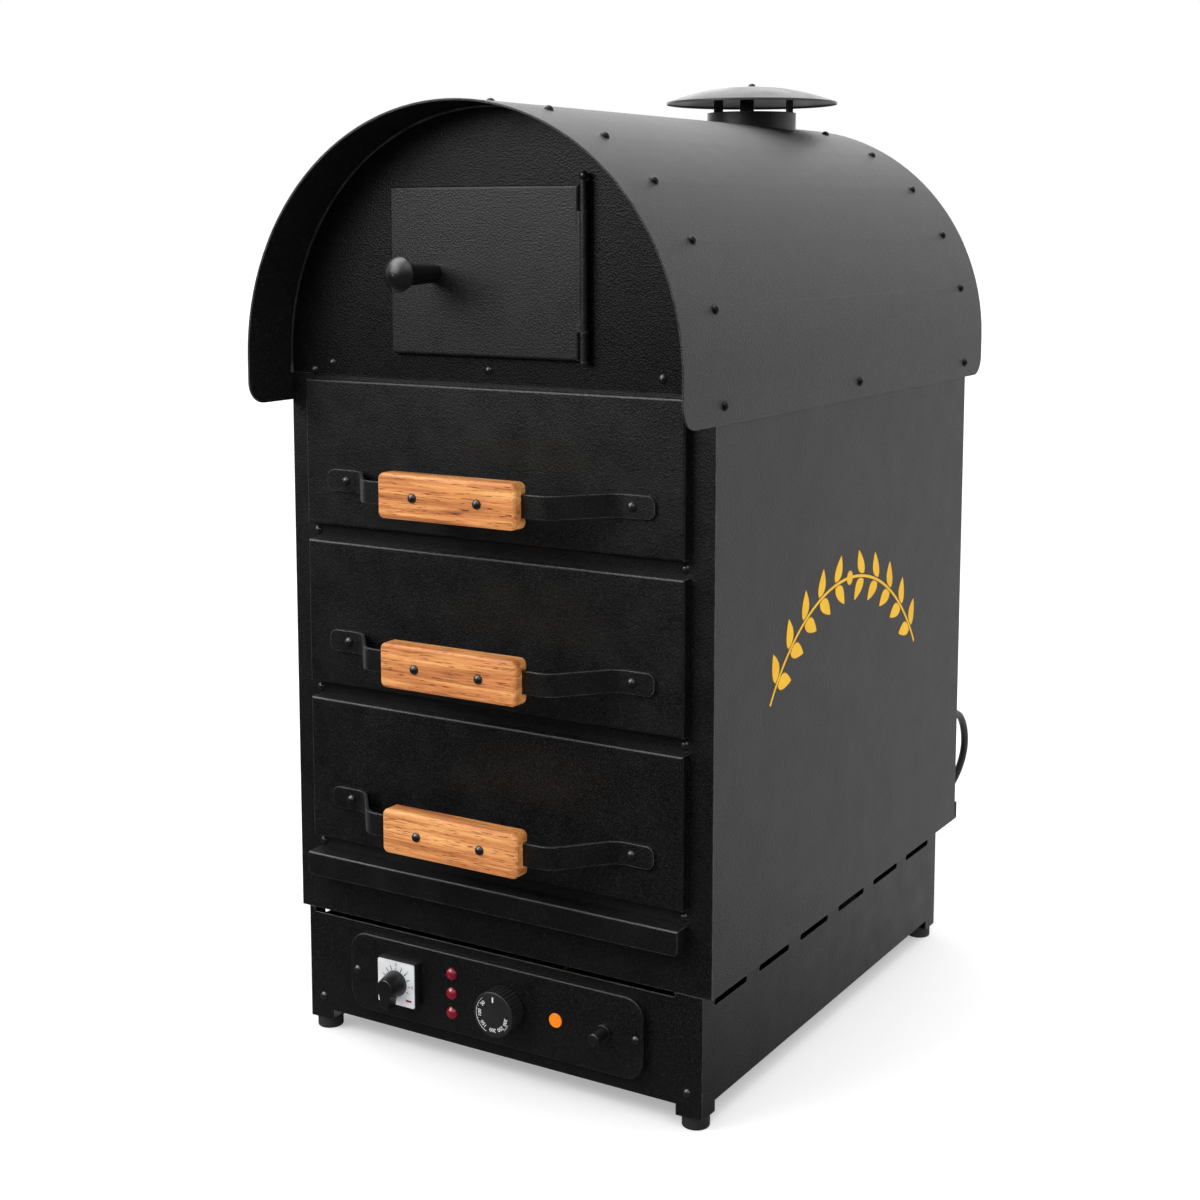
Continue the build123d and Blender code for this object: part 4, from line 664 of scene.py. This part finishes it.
def leaf(at, lean, hand, length, width, grow=0.0):
    """A pointed leaf from its foot, fuller towards its foot, leaning from the arch's own line."""
    out = []
    count = 11
    for side in (1, -1):
        for k in range(count):
            if side == -1 and k in (0, count - 1):
                continue
            t = k / (count - 1) if side == 1 else 1 - k / (count - 1)
            half = side * (width / 2 + grow) * math.sin(math.pi * t ** 0.8) ** 0.85
            along = -grow + (length + 2 * grow) * t
            across = half - 0.10 * hand * length * math.sin(math.pi * t)
            out.append((at.x + along * math.cos(lean) - across * math.sin(lean),
                        at.y + along * math.sin(lean) + across * math.cos(lean)))
    return out


def berry(at, radius):
    count = 18
    turns = [2 * math.pi * k / count for k in range(count)]
    return [(at.x + radius * math.cos(a), at.y + radius * math.sin(a)) for a in turns]


def garland():
    """A leaf garland in an arch on the right side: two arms of leaves that meet at a berry."""
    centre, radius = circle_through(*garland_points)
    start, end = [math.atan2(p.y - centre.y, p.x - centre.x) for p in (garland_points[0], garland_points[2])]
    leaves, borders, stems = [], [], []
    for n in range(leaf_pairs):
        done = (n + 0.5) / leaf_pairs
        angle = start + (end - start) * done
        foot = centre + radius * Vector((math.cos(angle), math.sin(angle)))
        if n == leaf_pairs // 2:
            leaves.append(berry(foot, berry_radius))
            borders.append(berry(foot, berry_radius + leaf_border))
            continue
        forward = angle - math.pi / 2 if done <= 0.5 else angle + math.pi / 2
        for side in (1, -1):
            lean = forward + side * math.radians(leaf_lean)
            root = foot + leaf_stand * Vector((math.cos(lean), math.sin(lean)))
            leaves.append(leaf(root, lean, side, leaf_length, leaf_width))
            borders.append(leaf(root, lean, side, leaf_length, leaf_width, leaf_border))
    for k in range(stem_steps):
        if k in berry_steps:
            continue
        a, b = [start + (end - start) * (k + e) / stem_steps for e in (0, 1)]
        corners = ((a, -stem_half), (b, -stem_half), (b, stem_half), (a, stem_half))
        stems.append([tuple(centre + (radius + w) * Vector((math.cos(e), math.sin(e)))) for e, w in corners])
    side_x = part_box("side_panel_right")[1].x

    def right_side(u, v, lift):
        return (side_x + lift, u, v)

    plate("garland_edge", borders, right_side, border_depth, brown_paint, "cabinet", "black_coat")
    plate("garland_leaves", stems + leaves, right_side, paint_depth, yellow_paint, "cabinet", "black_coat")


garland()


# ---------------------------------------------------------------- node helpers for the studio
def combine(tree, how, a, b):
    """A Math node of two values, each a socket or a number."""
    n = tree.nodes.new("ShaderNodeMath")
    n.operation = how
    for socket, v in zip(n.inputs, (a, b)):
        if hasattr(v, "is_linked"):
            tree.links.new(v, socket)
        else:
            socket.default_value = v
    return n.outputs[0]


def blend(tree, how_much, a, b):
    """a where how_much is 0 and b where it is 1."""
    n = tree.nodes.new("ShaderNodeMix")
    for key, v in ((0, how_much), (2, a), (3, b)):
        if hasattr(v, "is_linked"):
            tree.links.new(v, n.inputs[key])
        else:
            n.inputs[key].default_value = v
    return n.outputs[0]


def seen_directly(tree):
    """1 for camera, mirror and glass rays, 0 for the rays that light the object."""
    path = tree.nodes.new("ShaderNodeLightPath").outputs
    seen = combine(tree, "MAXIMUM", path["Is Camera Ray"], path["Is Glossy Ray"])
    return combine(tree, "MAXIMUM", seen, path["Is Transmission Ray"])


def scaled(tree, socket, low, high):
    """A 0 to 1 value, brought to run from low to high."""
    n = tree.nodes.new("ShaderNodeMapRange")
    n.inputs["To Min"].default_value = low
    n.inputs["To Max"].default_value = high
    tree.links.new(socket, n.inputs["Value"])
    return n.outputs[0]


def fade(tree, vector, axis, low, high, to=(0.0, 1.0)):
    """Smooth blend as a direction or a place moves along an axis, from its low to its high mark."""
    dot = tree.nodes.new("ShaderNodeVectorMath")
    dot.operation = "DOT_PRODUCT"
    dot.inputs[1].default_value = Vector(axis).normalized()
    tree.links.new(vector, dot.inputs[0])
    n = tree.nodes.new("ShaderNodeMapRange")
    n.interpolation_type = "SMOOTHSTEP"
    for key, value in (("From Min", low), ("From Max", high), ("To Min", to[0]), ("To Max", to[1])):
        n.inputs[key].default_value = value
    tree.links.new(dot.outputs["Value"], n.inputs["Value"])
    return n.outputs[0]


# ---------------------------------------------------------------- floor, world, lamps
white = (1.0, 1.0, 1.0, 1.0)
floor_size = 120.0
floor_grey = 0.82
floor_glow = 0.34           # for the rays that see the floor, so that it is nearly white
floor_mirrored = (0.02, 0.66)   # share of it that gloss sees, in front of the oven and behind it
floor_turn = (-0.6, 0.4)    # Y from which to which the one passes into the other
room_diffuse, room_seen = 0.78, 1.0     # strength of the room as light, and to the eye
rear_sheen = 0.74           # strength that gloss sees behind the oven
front_sheen = (0.03, 0.8)   # and in front of it, from the horizon to overhead
sheen_turn = (-0.15, 0.45)  # lean to the front from which to which rear passes into front
# bright patches that only gloss sees: towards, where they start, where they are full, strength
sheen_patches = (
    ((-0.42, -0.18, 0.89), 0.80, 0.95, 5.0),
    ((-0.55, 0.80, 0.25), 0.70, 0.98, 1.5),
    ((0.45, 0.85, 0.30), 0.90, 0.99, 0.5),
)


def studio_floor():
    """A pale floor that keeps the shadow; gloss sees it dark in front of the oven."""
    bpy.ops.mesh.primitive_plane_add(size=floor_size, location=(0.0, 0.0, 0.0))
    floor = bpy.context.object
    floor.name = "studio_floor"
    mat = bpy.data.materials.new("studio_floor")
    mat.use_nodes = True
    tree = mat.node_tree
    body = tree.nodes["Principled BSDF"]
    body.inputs["Roughness"].default_value = 0.9
    body.inputs["Specular IOR Level"].default_value = 0.0
    body.inputs["Emission Color"].default_value = white
    glossy = tree.nodes.new("ShaderNodeLightPath").outputs["Is Glossy Ray"]
    place = tree.nodes.new("ShaderNodeNewGeometry").outputs["Position"]
    behind = fade(tree, place, (0.0, 1.0, 0.0), *floor_turn, floor_mirrored)
    seen = blend(tree, glossy, 1.0, behind)
    grey = tree.nodes.new("ShaderNodeCombineColor")
    for channel in grey.inputs:
        tree.links.new(combine(tree, "MULTIPLY", seen, floor_grey), channel)
    tree.links.new(grey.outputs[0], body.inputs["Base Color"])
    glow = scaled(tree, seen_directly(tree), 0.0, floor_glow)
    tree.links.new(combine(tree, "MULTIPLY", glow, seen), body.inputs["Emission Strength"])
    floor.data.materials.append(mat)


def studio_world():
    """An even white room for the eye; gloss sees a dark front, a pale rear and a few bright patches."""
    world = bpy.data.worlds.new("studio")
    scene.world = world
    world.use_nodes = True
    world.cycles.sampling_method = "NONE"
    tree = world.node_tree
    sky = tree.nodes["Background"]
    sky.inputs["Color"].default_value = white
    way = tree.nodes.new("ShaderNodeTexCoord").outputs["Generated"]
    glossy = tree.nodes.new("ShaderNodeLightPath").outputs["Is Glossy Ray"]
    front = fade(tree, way, (0.1, -1.0, 0.0), *sheen_turn)
    rising = fade(tree, way, (0.0, 0.0, 1.0), 0.0, 0.60, front_sheen)
    sheen = blend(tree, front, rear_sheen, rising)
    for towards, starts, full, strength in sheen_patches:
        patch = fade(tree, way, towards, starts, full, (0.0, strength))
        sheen = combine(tree, "ADD", sheen, patch)
    room = scaled(tree, seen_directly(tree), room_diffuse, room_seen)
    tree.links.new(blend(tree, glossy, room, sheen), sky.inputs["Strength"])


def hang_lamp(name, data, towards, at=(0.0, 0.0, 0.0)):
    """Link a lamp that shines in a direction."""
    thing = bpy.data.objects.new(name, data)
    thing.location = at
    thing.rotation_euler = Vector(towards).to_track_quat("-Z", "Y").to_euler()
    scene.collection.objects.link(thing)
    return thing


def sun(name, towards, strength, spread):
    """Wide soft sunlight; spread is in degrees."""
    data = bpy.data.lights.new(name, "SUN")
    data.energy = strength
    data.angle = math.radians(spread)
    hang_lamp(name, data, towards)


def soft_box():
    """A soft box close to the front, up on the left, whose sheen fades down the drawer fronts."""
    data = bpy.data.lights.new("soft_box", "AREA")
    data.shape = "RECTANGLE"
    data.size, data.size_y = 1.2, 1.0
    data.energy = 16.0
    at, aim = Vector((-0.80, -1.55, 1.50)), Vector((0.0, 0.0, 0.65))
    hang_lamp("soft_box", data, aim - at, at).visible_camera = False


studio_floor()
studio_world()
sun("key", (-0.75, 0.70, -1.15), 0.40, 40)
sun("top", (0.05, -0.30, -1.3), 0.85, 50)
soft_box()

scene.view_settings.view_transform = "Standard"
